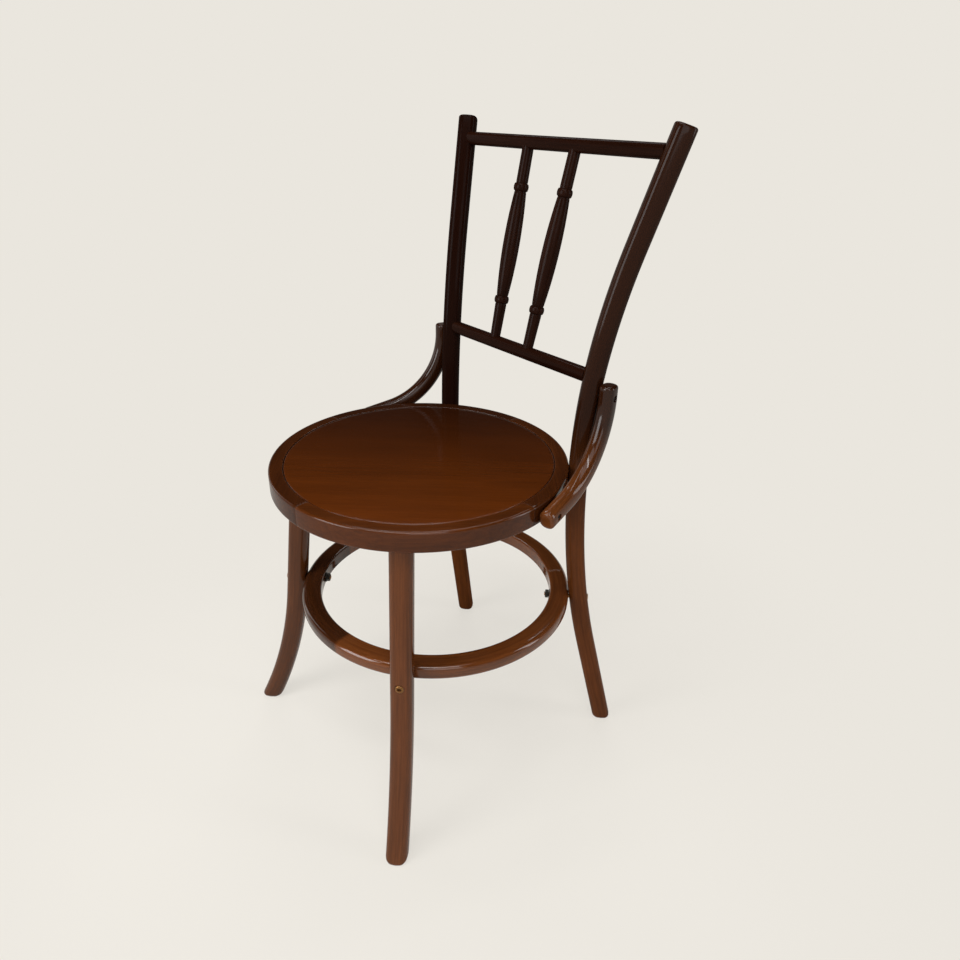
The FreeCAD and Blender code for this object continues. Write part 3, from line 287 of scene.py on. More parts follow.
def along_outline(section, walked):
    """The point and the normal at any length along an outline, by linear steps."""
    lengths, points, facings = section
    whole = lengths[-1]
    walked = np.mod(walked, whole)
    closed = [np.concatenate([column, column[:1]]) for column in (*points.T, *facings.T)]
    values = [np.interp(walked, lengths, column) for column in closed]
    return np.stack(values[:2], -1), np.stack(values[2:], -1)


def bent_line(start, heading, sides, lean, run, tail, reach, drop, upward=False):
    """A bent rod's line as a function of the length walked along it.

    A straight run leaves the start at the lean, then an arc, then a straight tail that ends at
    reach aside and drop below, all in the upright plane of the heading. The arc turns by twice
    the angle whose tangent is the distance aside over the rest of the length and the tail, and
    its radius is (rest - tail cos turn) / sin turn. The section's two sides are level at the
    start and turn with the arc.
    """
    tilt = math.radians(lean)
    rest = drop * math.cos(tilt) + reach * math.sin(tilt) - run
    aside = reach * math.cos(tilt) - drop * math.sin(tilt)
    turn = 2 * math.atan2(aside, rest + tail)
    radius = (rest - tail * math.cos(turn)) / math.sin(turn)
    run_end = run * np.array([math.sin(tilt), -math.cos(tilt)])
    centre = run_end + radius * np.array([math.cos(tilt), math.sin(tilt)])
    out = direction(heading)
    across = direction(heading + 90)
    sign = 1.0 if upward else -1.0
    full = run + radius * turn + tail

    def line(walked):
        walked = np.asarray(walked, float)
        bent = np.clip((walked - run) / radius, 0, turn)
        angle = tilt + bent
        on_run = np.minimum(walked, run)
        on_tail = np.maximum(walked - run - radius * turn, 0)
        arc = centre + radius * np.stack([-np.cos(angle), -np.sin(angle)], -1)
        flat = arc + (on_run - run)[..., None] * np.array([math.sin(tilt), -math.cos(tilt)])
        flat += on_tail[..., None] * np.stack([np.sin(angle), -np.cos(angle)], -1)
        spot = start + flat[..., :1] * out
        spot = spot + np.stack([0 * walked, 0 * walked, -sign * flat[..., 1]], -1)
        forward = np.sin(angle)[..., None] * out + sign * np.cos(angle)[..., None] * UP
        leaning = np.cos(bent)[..., None] * out - sign * np.sin(bent)[..., None] * UP
        frames = [leaning * (side @ out) + across * (side @ across) for side in sides]
        return spot, frames[0], frames[1], forward

    return line, full


def straight_line(start, stop, side, other):
    """A straight bar's line: the start plus the length walked along it."""
    ahead = (stop - start) / np.linalg.norm(stop - start)

    def line(walked):
        walked = np.asarray(walked, float)[..., None]
        whole = np.ones_like(walked)
        return start + walked * ahead, whole * side, whole * other, whole * ahead

    return line, float(np.linalg.norm(stop - start))


def ring_line(centre, radius, first, last):
    """A level arc about a centre: radius (cos a, sin a), a from the first to the last azimuth."""
    begin = math.radians(first)

    def line(walked):
        angle = begin + np.asarray(walked, float) / radius
        out = np.stack([np.cos(angle), np.sin(angle), 0 * angle], -1)
        ahead = np.stack([-np.sin(angle), np.cos(angle), 0 * angle], -1)
        return centre + radius * out, out, np.broadcast_to(UP, out.shape), ahead

    return line, radius * math.radians(last - first)


def place(line, section_spot, walked):
    """The surface point: the line's point plus x times one side and y times the other."""
    spot, side, other, _ = line(walked)
    return spot + section_spot[..., :1] * side + section_spot[..., 1:] * other


def cut_length(line, end, section_spot, plane_spot, plane_normal, shift):
    """How far to walk so that a line parallel to the rod meets a plane moved inward by shift."""
    spot, side, other, ahead = line(np.array(end))
    start = spot + section_spot[..., :1] * side + section_spot[..., 1:] * other
    gap = (plane_spot - shift * plane_normal - start) @ plane_normal
    return end + gap / (ahead @ plane_normal)


def stations(full, step, spots=()):
    """Shares of a line's length: even steps, with close ones round each spot on it."""
    marks = list(np.arange(0, full, full / max(2, round(full / step))))[1:]
    for spot, reach in spots:
        marks = [mark for mark in marks if abs(mark - spot) > reach * 1.12]
        marks += list(spot + np.linspace(-reach, reach, 9))
    return np.array(sorted(marks)) / full


def merge(parts):
    """Joins shapes into one: their points are stacked and their faces renumbered."""
    joined = {"points": [], "grain": [], "wear": [], "tone_and_shade": [], "quads": [], "threes": []}
    count = 0
    for part in parts:
        for key in ("points", "grain", "wear", "tone_and_shade"):
            joined[key].append(part[key])
        for key in ("quads", "threes"):
            joined[key].append(part[key] + count)
        count += len(part["points"])
    return {key: np.concatenate(value) for key, value in joined.items()}


def flat_lists(points, grain, wear, quads, threes, tone_and_shade=None):
    """A shape from arrays of any grid form."""
    count = points.reshape(-1, 3).shape[0]
    return {"points": points.reshape(-1, 3), "grain": grain.reshape(-1, 3),
            "wear": wear.reshape(-1), "tone_and_shade": np.zeros(count) if tone_and_shade is None else tone_and_shade,
            "quads": np.asarray(quads, int).reshape(-1, 4),
            "threes": np.asarray(threes, int).reshape(-1, 3)}


def grid_faces(rows, columns, first=0, wrap=False):
    """Quads between neighbouring rows of a grid whose columns go right round."""
    row = np.arange(rows if wrap else rows - 1)[:, None]
    column = np.arange(columns)[None]
    here = row * columns + column
    beside = row * columns + (column + 1) % columns
    above = (row + 1) % rows * columns
    return first + np.stack([here, beside, above + (column + 1) % columns,
                             above + column], -1).reshape(-1, 4)


def fan(centre, rim, flip=False):
    """Triangles from one point to a closed rim."""
    following = np.roll(rim, -1)
    order = (following, rim) if flip else (rim, following)
    return np.stack([np.full(len(rim), centre), *order], 1)


def sweep(section, line, full, ends, step=0.008, recesses=()):
    """Carries a section along a line and closes both ends with a rounded flat.

    A point is line(s) + x side(s) + y other(s). Each end is (plane point, plane normal, round):
    near it the section shrinks by round (1 - cos a) and stops round (1 - sin a) short of the
    plane, and then closes flat. A recess is (seat, inward, radius): a block of the grid is
    left out there and filled with rings that go from the block's rim to a round hole, down its
    wall and in to its middle.
    """
    _, outline_points, facings = section
    columns = len(outline_points)
    marks = []
    for seat, inward, radius in recesses:
        trial = np.linspace(0, full, COARSE)
        spot, side, other, _ = line(trial)
        nearest = int(np.argmin(np.linalg.norm(np.cross(seat - spot, inward), axis=1)))
        aim = -np.array([inward @ side[nearest], inward @ other[nearest]])
        # The flat that faces the hole, and on it the column nearest to the hole's axis.
        column = int(np.argmax(facings @ aim - 0.02 * np.abs(np.cross(outline_points, aim))
                               / radius))
        marks.append((trial[nearest], column, radius * BLOCK_REACH))
    shares = stations(full, step, [(mark[0], mark[2]) for mark in marks])
    rows = []
    walks = []
    caps = []
    for (plane_spot, plane_normal, rounding), end in zip(ends, (0.0, full)):
        angles = np.linspace(math.pi / 2, 0, 5) if rounding else np.array([0.0])
        shrunk = [outline_points - rounding * (1 - math.cos(angle)) * facings
                  for angle in angles]
        middle = outline_points.mean(0)
        # The flat end is drawn at two shares of the section, and then its rounding.
        block = [(middle + share * (shrunk[0] - middle), 0.0) for share in (0.35, 0.75)]
        block += [(points, rounding * (1 - math.sin(angle)))
                  for points, angle in zip(shrunk, angles)]
        caps.append([(points, cut_length(line, end, points, plane_spot, plane_normal, shift))
                     for points, shift in block])
    near, far = caps
    for points, walked in near:
        rows.append(points)
        walks.append(walked)
    first = near[-1][1]
    last = far[-1][1]
    for share in shares:
        rows.append(outline_points)
        walks.append(first + (last - first) * share)
    for points, walked in reversed(far):
        rows.append(points)
        walks.append(walked)
    spots = np.array(rows)
    walked = np.array(walks)
    points = place(line, spots, walked)
    grain = np.concatenate([spots, walked[..., None]], -1)
    wear = np.broadcast_to(edge_wear(section), walked.shape).copy()
    wear[:len(near) - 1] = 0.7
    wear[-len(far) + 1:] = 0.7
    total = len(rows)
    quads = grid_faces(total, columns)
    poles = np.array([points[0].mean(0), points[-1].mean(0)])
    pole_grain = np.array([grain[0].mean(0), grain[-1].mean(0)])
    shape = flat_lists(np.concatenate([points.reshape(-1, 3), poles]),
                       np.concatenate([grain.reshape(-1, 3), pole_grain]),
                       np.concatenate([wear.reshape(-1), [0.3, 0.3]]), quads,
                       np.concatenate([fan(total * columns, np.arange(columns), flip=True),
                                       fan(total * columns + 1,
                                           (total - 1) * columns + np.arange(columns))]))
    for recess, mark in zip(recesses, marks):
        shape = sink(shape, section, line, walked, columns, recess, mark)
    return shape


def edge_wear(section):
    """How exposed each point of an outline is: its turning, smoothed, from 0 to 1."""
    lengths, points, facings = section
    turning = np.linalg.norm(np.roll(facings, -1, 0) - np.roll(facings, 1, 0), axis=1)
    steps = np.diff(lengths)
    spacing = steps + np.roll(steps, 1)
    bend = turning / np.maximum(spacing, 1e-5) * 0.003
    for _ in range(3):
        bend = (np.roll(bend, 1) + 2 * bend + np.roll(bend, -1)) / 4
    return np.clip(bend, 0, 1)


def sink(shape, section, line, walked, columns, recess, mark):
    """Opens a round recess in a swept grid.

    The block of cells round the mark is taken out. Rings go from its rim to the hole at
    (a + r cos t, s + r sin t), with a along the outline and s along the line, then along the
    axis to the floor, where they shrink to the middle.
    """
    seat, inward, radius = recess
    middle, column, reach = mark
    lengths, outline_points, _ = section
    whole = lengths[-1]
    around = lengths[:-1]
    offset = (around - around[column] + whole / 2) % whole - whole / 2
    inside = np.where(np.abs(offset) < reach)[0]
    inside = inside[np.argsort(offset[inside])]
    aim = line(np.array(middle))
    side = np.array([(seat - aim[0]) @ aim[1], (seat - aim[0]) @ aim[2]])
    pull = np.linalg.norm(outline_points - side, axis=1)
    centre_offset = offset[int(np.argmin(pull))]
    rows = np.where(np.abs(walked[:, inside[len(inside) // 2]] - middle) < reach * 1.02)[0]
    low, high = rows[0], rows[-1]
    left, right = inside[0], inside[-1]
    width = len(inside)
    rim = ([(low, item) for item in inside]
           + [(row, right) for row in range(low + 1, high + 1)]
           + [(high, item) for item in inside[-2::-1]]
           + [(row, left) for row in range(high - 1, low, -1)])
    rim = np.array(rim)
    rim_index = rim[:, 0] * columns + rim[:, 1]
    rim_around = offset[rim[:, 1]]
    rim_walked = walked[rim[:, 0], rim[:, 1]]
    angle = np.arctan2(rim_walked - middle, rim_around - centre_offset)
    quads = shape["quads"]
    keep = np.ones(len(quads), bool)
    for row in range(low, high):
        keep[row * columns + inside[:width - 1]] = False
    rings = []
    grains = []
    # Each ring's share of the way from the rim to the hole, and its millimetres beyond the
    # hole's wall. The last one lies in the hole's arris, a little below the surface.
    for share, grow in ((0.4, 0.55), (0.75, 0.55), (1.0, 0.5), (1.0, 0.22)):
        size = radius + grow * MM
        a = rim_around + share * (centre_offset + size * np.cos(angle) - rim_around)
        s = rim_walked + share * (middle + size * np.sin(angle) - rim_walked)
        spot, facing = along_outline(section, a + around[column])
        dip = 0.0 if grow > 0.3 else 0.12 * MM
        rings.append(place(line, spot, s) + dip * inward)
        grains.append(np.concatenate([spot, s[:, None]], 1))
    axis_points = rings[-1]
    flat = axis_points - seat - ((axis_points - seat) @ inward)[:, None] * inward
    facing_out = flat / np.linalg.norm(flat, axis=1)[:, None]
    depth = (seat - axis_points) @ inward
    for share in (0.12, 0.5, 1.0):
        ring = seat + facing_out * radius + ((share - 1) * depth)[:, None] * inward
        rings.append(ring)
        grains.append(grains[3] + share * depth[:, None] * 0.5)
    for share in (0.9, 0.45):
        rings.append(seat + facing_out * radius * share)
        grains.append(grains[-1])
    count = len(rim)
    base = len(shape["points"])
    new_points = np.concatenate(rings + [seat[None]])
    new_grain = np.concatenate(grains + [grains[-1].mean(0)[None]])
    ring_quads = []
    previous = rim_index
    for number in range(len(rings)):
        current = base + number * count + np.arange(count)
        ring_quads.append(np.stack([previous, np.roll(previous, -1), np.roll(current, -1),
                                    current], 1))
        previous = current
    threes = fan(base + len(rings) * count, previous)
    wears = np.concatenate([np.full(count, value) for value in
                            (0.1, 0.2, 0.6, 0.9, 0.2, 0.0, 0.0, 0.0, 0.0)] + [np.zeros(1)])
    return {"points": np.concatenate([shape["points"], new_points]),
            "grain": np.concatenate([shape["grain"], new_grain]),
            "wear": np.concatenate([shape["wear"], wears]),
            "tone_and_shade": np.zeros(base + len(new_points)),
            "quads": np.concatenate([quads[keep]] + ring_quads),
            "threes": np.concatenate([shape["threes"], threes])}


def closed_ring(section, line, full, count):
    """Carries a section right round a ring: line(s) + x out(s) + y up(s)."""
    lengths, outline_points, _ = section
    walked = np.linspace(0, full, count, endpoint=False)[:, None] + 0 * lengths[None, :-1]
    spots = np.broadcast_to(outline_points, (count, *outline_points.shape))
    grain = np.concatenate([spots, walked[..., None]], -1)
    wear = np.broadcast_to(edge_wear(section), walked.shape)
    return flat_lists(place(line, spots, walked), grain, wear,
                      grid_faces(count, len(outline_points), wrap=True), [])


def corner_radius(angle, flats, sides):
    """The radius of a regular polygon at an angle: half its flats over the cosine from a flat."""
    step = TURN / sides
    return flats / 2 / np.cos(np.mod(angle, step) - step / 2)


def turned(rings, origin, axis, columns=48, closed=False):
    """A turned or pressed form: rings of (radius, height) about an axis.

    A point is origin + height axis + radius (cos a side + sin a other). Radius and height are
    numbers or arrays over the angle. The first and last rings close to a point on the axis,
    or the last joins the first where the form is closed.
    """
    axis = axis / np.linalg.norm(axis)
    helper = UP if abs(axis[2]) < 0.9 else direction(0)
    side = np.cross(helper, axis)
    side /= np.linalg.norm(side)
    other = np.cross(axis, side)
    angle = around(columns)
    radius = np.array([ring[0] + 0 * angle for ring in rings])
    height = np.array([ring[1] + 0 * angle for ring in rings])
    local = np.stack([radius * np.cos(angle), radius * np.sin(angle), height], -1)
    points = origin + local[..., :1] * side + local[..., 1:2] * other + local[..., 2:] * axis
    rows = len(rings)
    faces = grid_faces(rows, columns, wrap=closed)
    bend = np.zeros((rows, columns))
    if closed:
        return flat_lists(points, local, bend, faces, [])
    ends = np.array([origin + height[row].mean() * axis for row in (0, -1)])
    end_local = np.array([[0, 0, height[0].mean()], [0, 0, height[-1].mean()]])
    return flat_lists(np.concatenate([points.reshape(-1, 3), ends]),
                      np.concatenate([local.reshape(-1, 3), end_local]),
                      np.zeros(rows * columns + 2), faces,
                      np.concatenate([fan(rows * columns, np.arange(columns), flip=True),
                                      fan(rows * columns + 1,
                                          (rows - 1) * columns + np.arange(columns))]))


def make_piece(name, shape, material, nodes):
    """Puts a shape into a mesh, turns it the right way out and hands it to the frame."""
    used = np.unique(np.concatenate([shape["quads"].reshape(-1), shape["threes"].reshape(-1)]))
    fresh = np.zeros(len(shape["points"]), int)
    fresh[used] = np.arange(len(used))
    points = shape["points"][used]
    quads = fresh[shape["quads"]]
    threes = fresh[shape["threes"]]
    corners = np.concatenate([quads[:, [0, 1, 2]], quads[:, [0, 2, 3]], threes])
    a, b, c = (points[corners[:, index]] for index in range(3))
    if np.einsum("ij,ij->", a, np.cross(b, c)) < 0:
        quads = quads[:, ::-1]
        threes = threes[:, ::-1]
    mesh = bpy.data.meshes.new(name)
    mesh.vertices.add(len(points))
    mesh.vertices.foreach_set("co", points.astype(np.float32).reshape(-1))
    loops = np.concatenate([quads.reshape(-1), threes.reshape(-1)])
    mesh.loops.add(len(loops))
    mesh.loops.foreach_set("vertex_index", loops.astype(np.int32))
    sizes = np.concatenate([np.full(len(quads), 4), np.full(len(threes), 3)])
    mesh.polygons.add(len(sizes))
    starts = np.concatenate([[0], np.cumsum(sizes)[:-1]])
    mesh.polygons.foreach_set("loop_start", starts.astype(np.int32))
    mesh.polygons.foreach_set("use_smooth", np.ones(len(sizes), bool))
    mesh.update(calc_edges=True)
    mesh.validate()
    mesh.set_sharp_from_angle(angle=math.radians(SHARP_TURN))
    grain = mesh.attributes.new("grain", "FLOAT_VECTOR", "POINT")
    grain.data.foreach_set("vector", shape["grain"][used].astype(np.float32).reshape(-1))
    for key in ("wear", "tone_and_shade"):
        layer = mesh.attributes.new(key, "FLOAT", "POINT")
        layer.data.foreach_set("value", shape[key][used].astype(np.float32))
    piece = bpy.data.objects.new(name, mesh)
    bpy.context.scene.collection.objects.link(piece)
    mesh.materials.append(material)
    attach(piece, "root")
    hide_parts(*nodes)
    return piece


# Materials

def add(tree, kind, inputs=None, **settings):
    """Adds a node, gives it its settings, and sets or links its inputs, by name or by number."""
    node = tree.nodes.new(kind)
    for key, value in settings.items():
        setattr(node, key, value)
    for key, value in (inputs or {}).items():
        if isinstance(value, bpy.types.NodeSocket):
            tree.links.new(value, node.inputs[key])
        else:
            node.inputs[key].default_value = value
    return node


# The numbers of a colour Mix node's sockets: its factor, its two colours and its result.
SHARE, FROM, TO, RESULT = 0, 6, 7, 2


def new_material(name):
    """A material with an empty tree and an output."""
    material = bpy.data.materials.new(name)
    material.use_nodes = True
    tree = material.node_tree
    tree.nodes.clear()
    return material, tree, add(tree, "ShaderNodeOutputMaterial")


def shade(colour, share):
    """A linear colour made darker or lighter."""
    return [min(1.0, channel * share) for channel in colour[:3]] + [1.0]


def lacquered_beech(name, stain, coat, coat_roughness, drift=1.0, seed=0.0):
    """Steam-bent beech, spirit stained and sprayed with clear lacquer.

    To the eye: an even brown with long soft bands where the stain took more, fine dark flecks
    of two or three millimetres where the wood's rays are cut, thin fibres along the piece,
    slightly paler worn edges, and a smooth coat that gives long clean highlights. The fibres
    are drawn 0.6 mm wide, coarser than real ones, so that they show.
    """
    material, tree, output = new_material(name)
    grain = add(tree, "ShaderNodeAttribute", attribute_name="grain").outputs["Vector"]
    wear = add(tree, "ShaderNodeAttribute", attribute_name="wear").outputs["Fac"]
    tone_and_shade = add(tree, "ShaderNodeAttribute", attribute_name="tone_and_shade").outputs["Fac"]
    widths = {"bands": (22, 160), "rings": (3.2, 110), "fibres": (0.6, 18), "flecks": (1.1, 5.5),
              "patches": (12, 30), "ripple": (6, 24)}
    sized = {key: add(tree, "ShaderNodeMapping", {
        "Vector": grain, "Location": (seed, seed, seed),
        "Scale": (1 / (across * MM), 1 / (across * MM), 1 / (along * MM))}).outputs["Vector"]
        for key, (across, along) in widths.items()}
    noise = {key: add(tree, "ShaderNodeTexNoise", {
        "Vector": sized[key], "Scale": 1.0, "Detail": detail, "Roughness": 0.55,
        "Distortion": bend}).outputs["Fac"]
        for key, detail, bend in (("bands", 3.0, 0.0), ("rings", 2.0, 0.6), ("fibres", 2.0, 0.0),
                                  ("patches", 4.0, 0.0), ("ripple", 1.0, 0.0))}
    cells = add(tree, "ShaderNodeTexVoronoi", {"Vector": sized["flecks"], "Scale": 1.0})
    both = add(tree, "ShaderNodeMath", {0: noise["bands"], 1: noise["rings"]}, operation="ADD")
    rub = add(tree, "ShaderNodeMath", {0: wear, 1: noise["patches"]}, operation="MULTIPLY")
    # What each pattern runs between, and what that becomes: a layer's strength or a roughness.
    ranges = {"drift": (both.outputs[0], 0.72, 1.28, 0.0, 1.0),
              "fibres": (noise["fibres"], 0.35, 0.7, 0.0, 0.32),
              "flecks": (cells.outputs["Distance"], 0.10, 0.24, 0.34, 0.0),
              "rubbed": (rub.outputs[0], 0.18, 0.62, 0.0, 0.30),
              "rough": (noise["patches"], 0.3, 0.7, 0.5, 0.65)}
    level = {key: add(tree, "ShaderNodeMapRange", {
        "Value": value, "From Min": low, "From Max": high, "To Min": first,
        "To Max": last}).outputs["Result"]
        for key, (value, low, high, first, last) in ranges.items()}
    colour = shade(stain, 1 - 0.30 * drift)
    # The last layer mixes toward the dark stain by the tone attribute: painted shade on most
    # pieces, partly the stain's own tone on the seat ring.
    for share, over in ((level["drift"], shade(stain, 1 + 0.28 * drift)),
                        (level["fibres"], shade(stain, 0.55)),
                        (level["flecks"], shade(stain, 0.36)),
                        (level["rubbed"], shade(stain, 1.75)),
                        (tone_and_shade, shade(linear(DARK_STAIN_AND_SHADE), 0.8))):
        colour = add(tree, "ShaderNodeMix", {SHARE: share, FROM: colour, TO: over},
                     data_type="RGBA").outputs[RESULT]
    fine = add(tree, "ShaderNodeMath", {0: noise["fibres"], 1: 0.10, 2: noise["ripple"]},
               operation="MULTIPLY_ADD")
    bump = add(tree, "ShaderNodeBump", {"Height": fine.outputs[0], "Strength": 0.16,
                                        "Distance": 0.0006}).outputs["Normal"]
    skin = add(tree, "ShaderNodeBsdfPrincipled", {
        "Base Color": colour, "Roughness": level["rough"],
        "Normal": bump, "IOR": 1.5, "Specular IOR Level": 0.0, "Coat Weight": coat,
        "Coat Roughness": coat_roughness, "Coat IOR": 1.5, "Coat Normal": bump})
    tree.links.new(skin.outputs["BSDF"], output.inputs["Surface"])
    return material


def raw_beech(name):
    """Beech as it comes off the dowel cutter: pale, dry and matt, with grain along it."""
    material, tree, output = new_material(name)
    place_on = add(tree, "ShaderNodeTexCoord").outputs["Object"]
    fine = add(tree, "ShaderNodeTexNoise", {"Vector": place_on, "Scale": 1 / (1.5 * MM),
                                            "Detail": 3.0}).outputs["Fac"]
    colour = add(tree, "ShaderNodeMix", {SHARE: fine, FROM: linear("#c99f70"),
                                         TO: linear("#a87c50")}, data_type="RGBA")
    skin = add(tree, "ShaderNodeBsdfPrincipled", {"Base Color": colour.outputs[RESULT],
                                                  "Roughness": 0.75})
    tree.links.new(skin.outputs["BSDF"], output.inputs["Surface"])
    return material


def plated_steel(name, colour, roughness, seed=0.0):
    """Pressed and plated steel hardware.

    To the eye: a dull metal with cloudy plating a few millimetres across and fine tool marks.
    """
    material, tree, output = new_material(name)
    local = add(tree, "ShaderNodeAttribute", attribute_name="grain").outputs["Vector"]
    clouds = add(tree, "ShaderNodeTexNoise", {"Vector": local, "Scale": 1 / (2.5 * MM),
                                              "Detail": 4.0, "Distortion": seed}).outputs["Fac"]
    marks = add(tree, "ShaderNodeTexNoise", {"Vector": local, "Scale": 1 / (0.4 * MM),
                                             "Detail": 2.0}).outputs["Fac"]
    tint = add(tree, "ShaderNodeMix", {SHARE: clouds, FROM: shade(colour, 0.62),
                                       TO: shade(colour, 1.35)}, data_type="RGBA")
    rough = add(tree, "ShaderNodeMapRange", {"Value": clouds, "From Min": 0.3, "From Max": 0.7,
                                             "To Min": roughness - 0.08,
                                             "To Max": roughness + 0.12})
    bump = add(tree, "ShaderNodeBump", {"Height": marks, "Strength": 0.25,
                                        "Distance": 0.00005}).outputs["Normal"]
    skin = add(tree, "ShaderNodeBsdfPrincipled", {
        "Base Color": tint.outputs[RESULT], "Metallic": 1.0, "Normal": bump,
        "Roughness": rough.outputs["Result"]})
    tree.links.new(skin.outputs["BSDF"], output.inputs["Surface"])
    return material


# Places that several pieces share, in millimetres, by the same rules as in the solids

def reach_of_section(side_length, corner, turn):
    """How far a rounded square reaches from its middle, turned from its flats."""
    angle = math.radians(turn)
    return (side_length / 2 - corner) * (abs(math.cos(angle)) + abs(math.sin(angle))) + corner


def leg_line(side):
    """A front leg's line, from the seat ring's underside down to its unsawn foot."""
    heading = mirrored(LEG["heading"], side)
    top = RING_UNDER - GLUE_LINE
    start = on_seat(SEAT_RADIUS - LEG["inset"], mirrored(LEG["azimuth"], side), top)
    return bent_line(start, heading, (direction(heading), direction(heading + 90)), LEG["lean"],
                     LEG["run"] * MM, LEG["tail"] * MM, LEG["reach"] * MM, (top + FOOT_TRIM) * MM)


def post_line(side):
    """A rear post's line, from its unsawn foot up to its top, and the waist's place on it."""
    azimuth = mirrored(POST["azimuth"], side)
    radius = SEAT_RADIUS + POST["side"] / 2 + TOUCH_GAP
    waist = on_seat(radius, azimuth, WAIST_HEIGHT)
    sides = (direction(azimuth), direction(azimuth + 90))
    below, low_full = bent_line(waist, mirrored(POST_LOW["heading"], side), sides, 0,
                                POST_LOW["run"] * MM, POST_LOW["tail"] * MM,
                                POST_LOW["reach"] * MM, (WAIST_HEIGHT + FOOT_TRIM) * MM)
    rise = TOP_RAIL_HEIGHT + POST_HORN - WAIST_HEIGHT
    above, high_full = bent_line(waist, mirrored(POST_HIGH["heading"], side), sides, 0,
                                 POST_HIGH["run"] * MM, POST_HIGH["tail"] * MM,
                                 POST_HIGH["reach"] * MM, rise * MM, upward=True)

    def line(walked):
        walked = np.asarray(walked, float)
        low = below(low_full - walked)
        high = above(walked - low_full)
        under = (walked < low_full)[..., None]
        low = (*low[:3], -low[3])
        return tuple(np.where(under, one, two) for one, two in zip(low, high))

    return line, low_full + high_full, low_full


def line_at_height(line, full, height):
    """The length walked, and the point, where a line passes a height."""
    walked = np.linspace(0, full, FINE)
    spots = line(walked)[0]
    order = np.argsort(spots[:, 2])
    found = float(np.interp(height * MM, spots[order, 2], walked[order]))
    return found, line(np.array(found))[0]


def foot_ring_place():
    """The foot ring's centre on the floor plan and its outside radius, from its solid."""
    low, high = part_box("foot_ring")
    return (low.y + high.y) / 2, (high.x - low.x) / 2


def bolt_line(spot, inward, width, middle, ring_bore):
    """A bolt through a leg and a ring: its head's seat, the direction inward, and the grip.

    Its flat washer bears inside the ring on the chord of the washer's width.
    """
    seat = spot - inward * (width / 2 - BOLT["sink"]) * MM
    bearing = math.sqrt(ring_bore ** 2 - (WASHER["across"] * MM / 2) ** 2)
    return seat, inward, math.hypot(seat[0], seat[1] - middle) - bearing


def foot_bolt_lines():
    """The bolts that hold the foot ring to the four legs."""
    middle, radius = foot_ring_place()
    lines = []
    for _, side in SIDES:
        for piece, width in ((leg_line(side), LEG["side"]), (post_line(side)[:2], POST["side"])):
            spot = line_at_height(*piece, FOOT_RING_HEIGHT)[1]
            outward = np.array([spot[0], spot[1] - middle, 0.0])
            inward = -outward / np.linalg.norm(outward)
            lines.append(bolt_line(spot, inward, width, middle, radius - FOOT_RING["width"] * MM))
    return lines


def post_bolt_lines():
    """The two bolts that hold the rear posts to the seat ring."""
    lines = []
    for _, side in SIDES:
        line, full, _ = post_line(side)
        spot = line_at_height(line, full, JOINT_HEIGHT)[1]
        inward = direction(mirrored(POST["azimuth"], side) + 180)
        lines.append(bolt_line(spot, inward, POST["side"], -SEAT_FORWARD * MM,
                               (SEAT_RADIUS - RING_WIDTH) * MM))
    return lines


def brace_place(post_round):
    """The azimuth that the brace's plane faces, its distance from the seat's axis, and how far
    behind the seat contact its upper end stands."""
    line, full, _ = post_line(1)
    post = line_at_height(line, full, BRACE_TOP)[1] / MM
    post[1] += SEAT_FORWARD
    bearing = math.degrees(math.atan2(post[1], post[0]))
    away = math.hypot(post[0], post[1])
    facing = bearing / 2
    for _ in range(20):
        reach = reach_of_section(POST["side"], post_round, POST["azimuth"] - facing)
        facing = bearing - math.degrees(math.acos((SEAT_RADIUS - reach) / away))
    offset = SEAT_RADIUS + TOUCH_GAP + BRACE["thickness"] / 2
    back = post[:2] @ direction(facing + 90)[:2] - BRACE_ADVANCE
    return facing, offset, back


def brace_line(side, post_round):
    """A brace's line, from its upper end down and forward to its front end."""
    facing, offset, back = brace_place(post_round)
    outward = direction(mirrored(facing, side))
    backward = direction(mirrored(facing + 90, side))
    start = MM * (offset * outward + back * backward + np.array([0, -SEAT_FORWARD, BRACE_TOP]))
    heading = mirrored(facing - 90, side)
    line, full = bent_line(start, heading, (direction(heading), direction(heading + 90)), 0,
                           BRACE["run"] * MM, BRACE["tail"] * MM, (back + BRACE_LAP) * MM,
                           (BRACE_TOP - BRACE_FRONT) * MM)
    return line, full, start, outward, back * MM


def brace_screw_lines(post_round):
    """The front and the upper screw of each brace: the head's seat and the direction inward."""
    front = []
    upper = []
    for _, side in SIDES:
        line, full, start, outward, back = brace_line(side, post_round)
        walked = np.linspace(0, full, FINE)
        spots = line(walked)[0]
        aside = (spots - start) @ line(np.array(0.0))[1]
        at_front = line(np.interp(back, aside, walked))[0]
        at_top = line(np.array(BRACE["run"] * MM))[0]
        step = (BRACE["thickness"] / 2 - SCREW["sink"]) * MM
        front.append((at_front + outward * step, -outward))
        upper.append((at_top + outward * step, -outward))
    return front, upper


# Operators

def settings(context):
    """The three groups of settings."""
    scene = context.scene
    return scene.chair_sizes, scene.chair_colours, scene.chair_stage


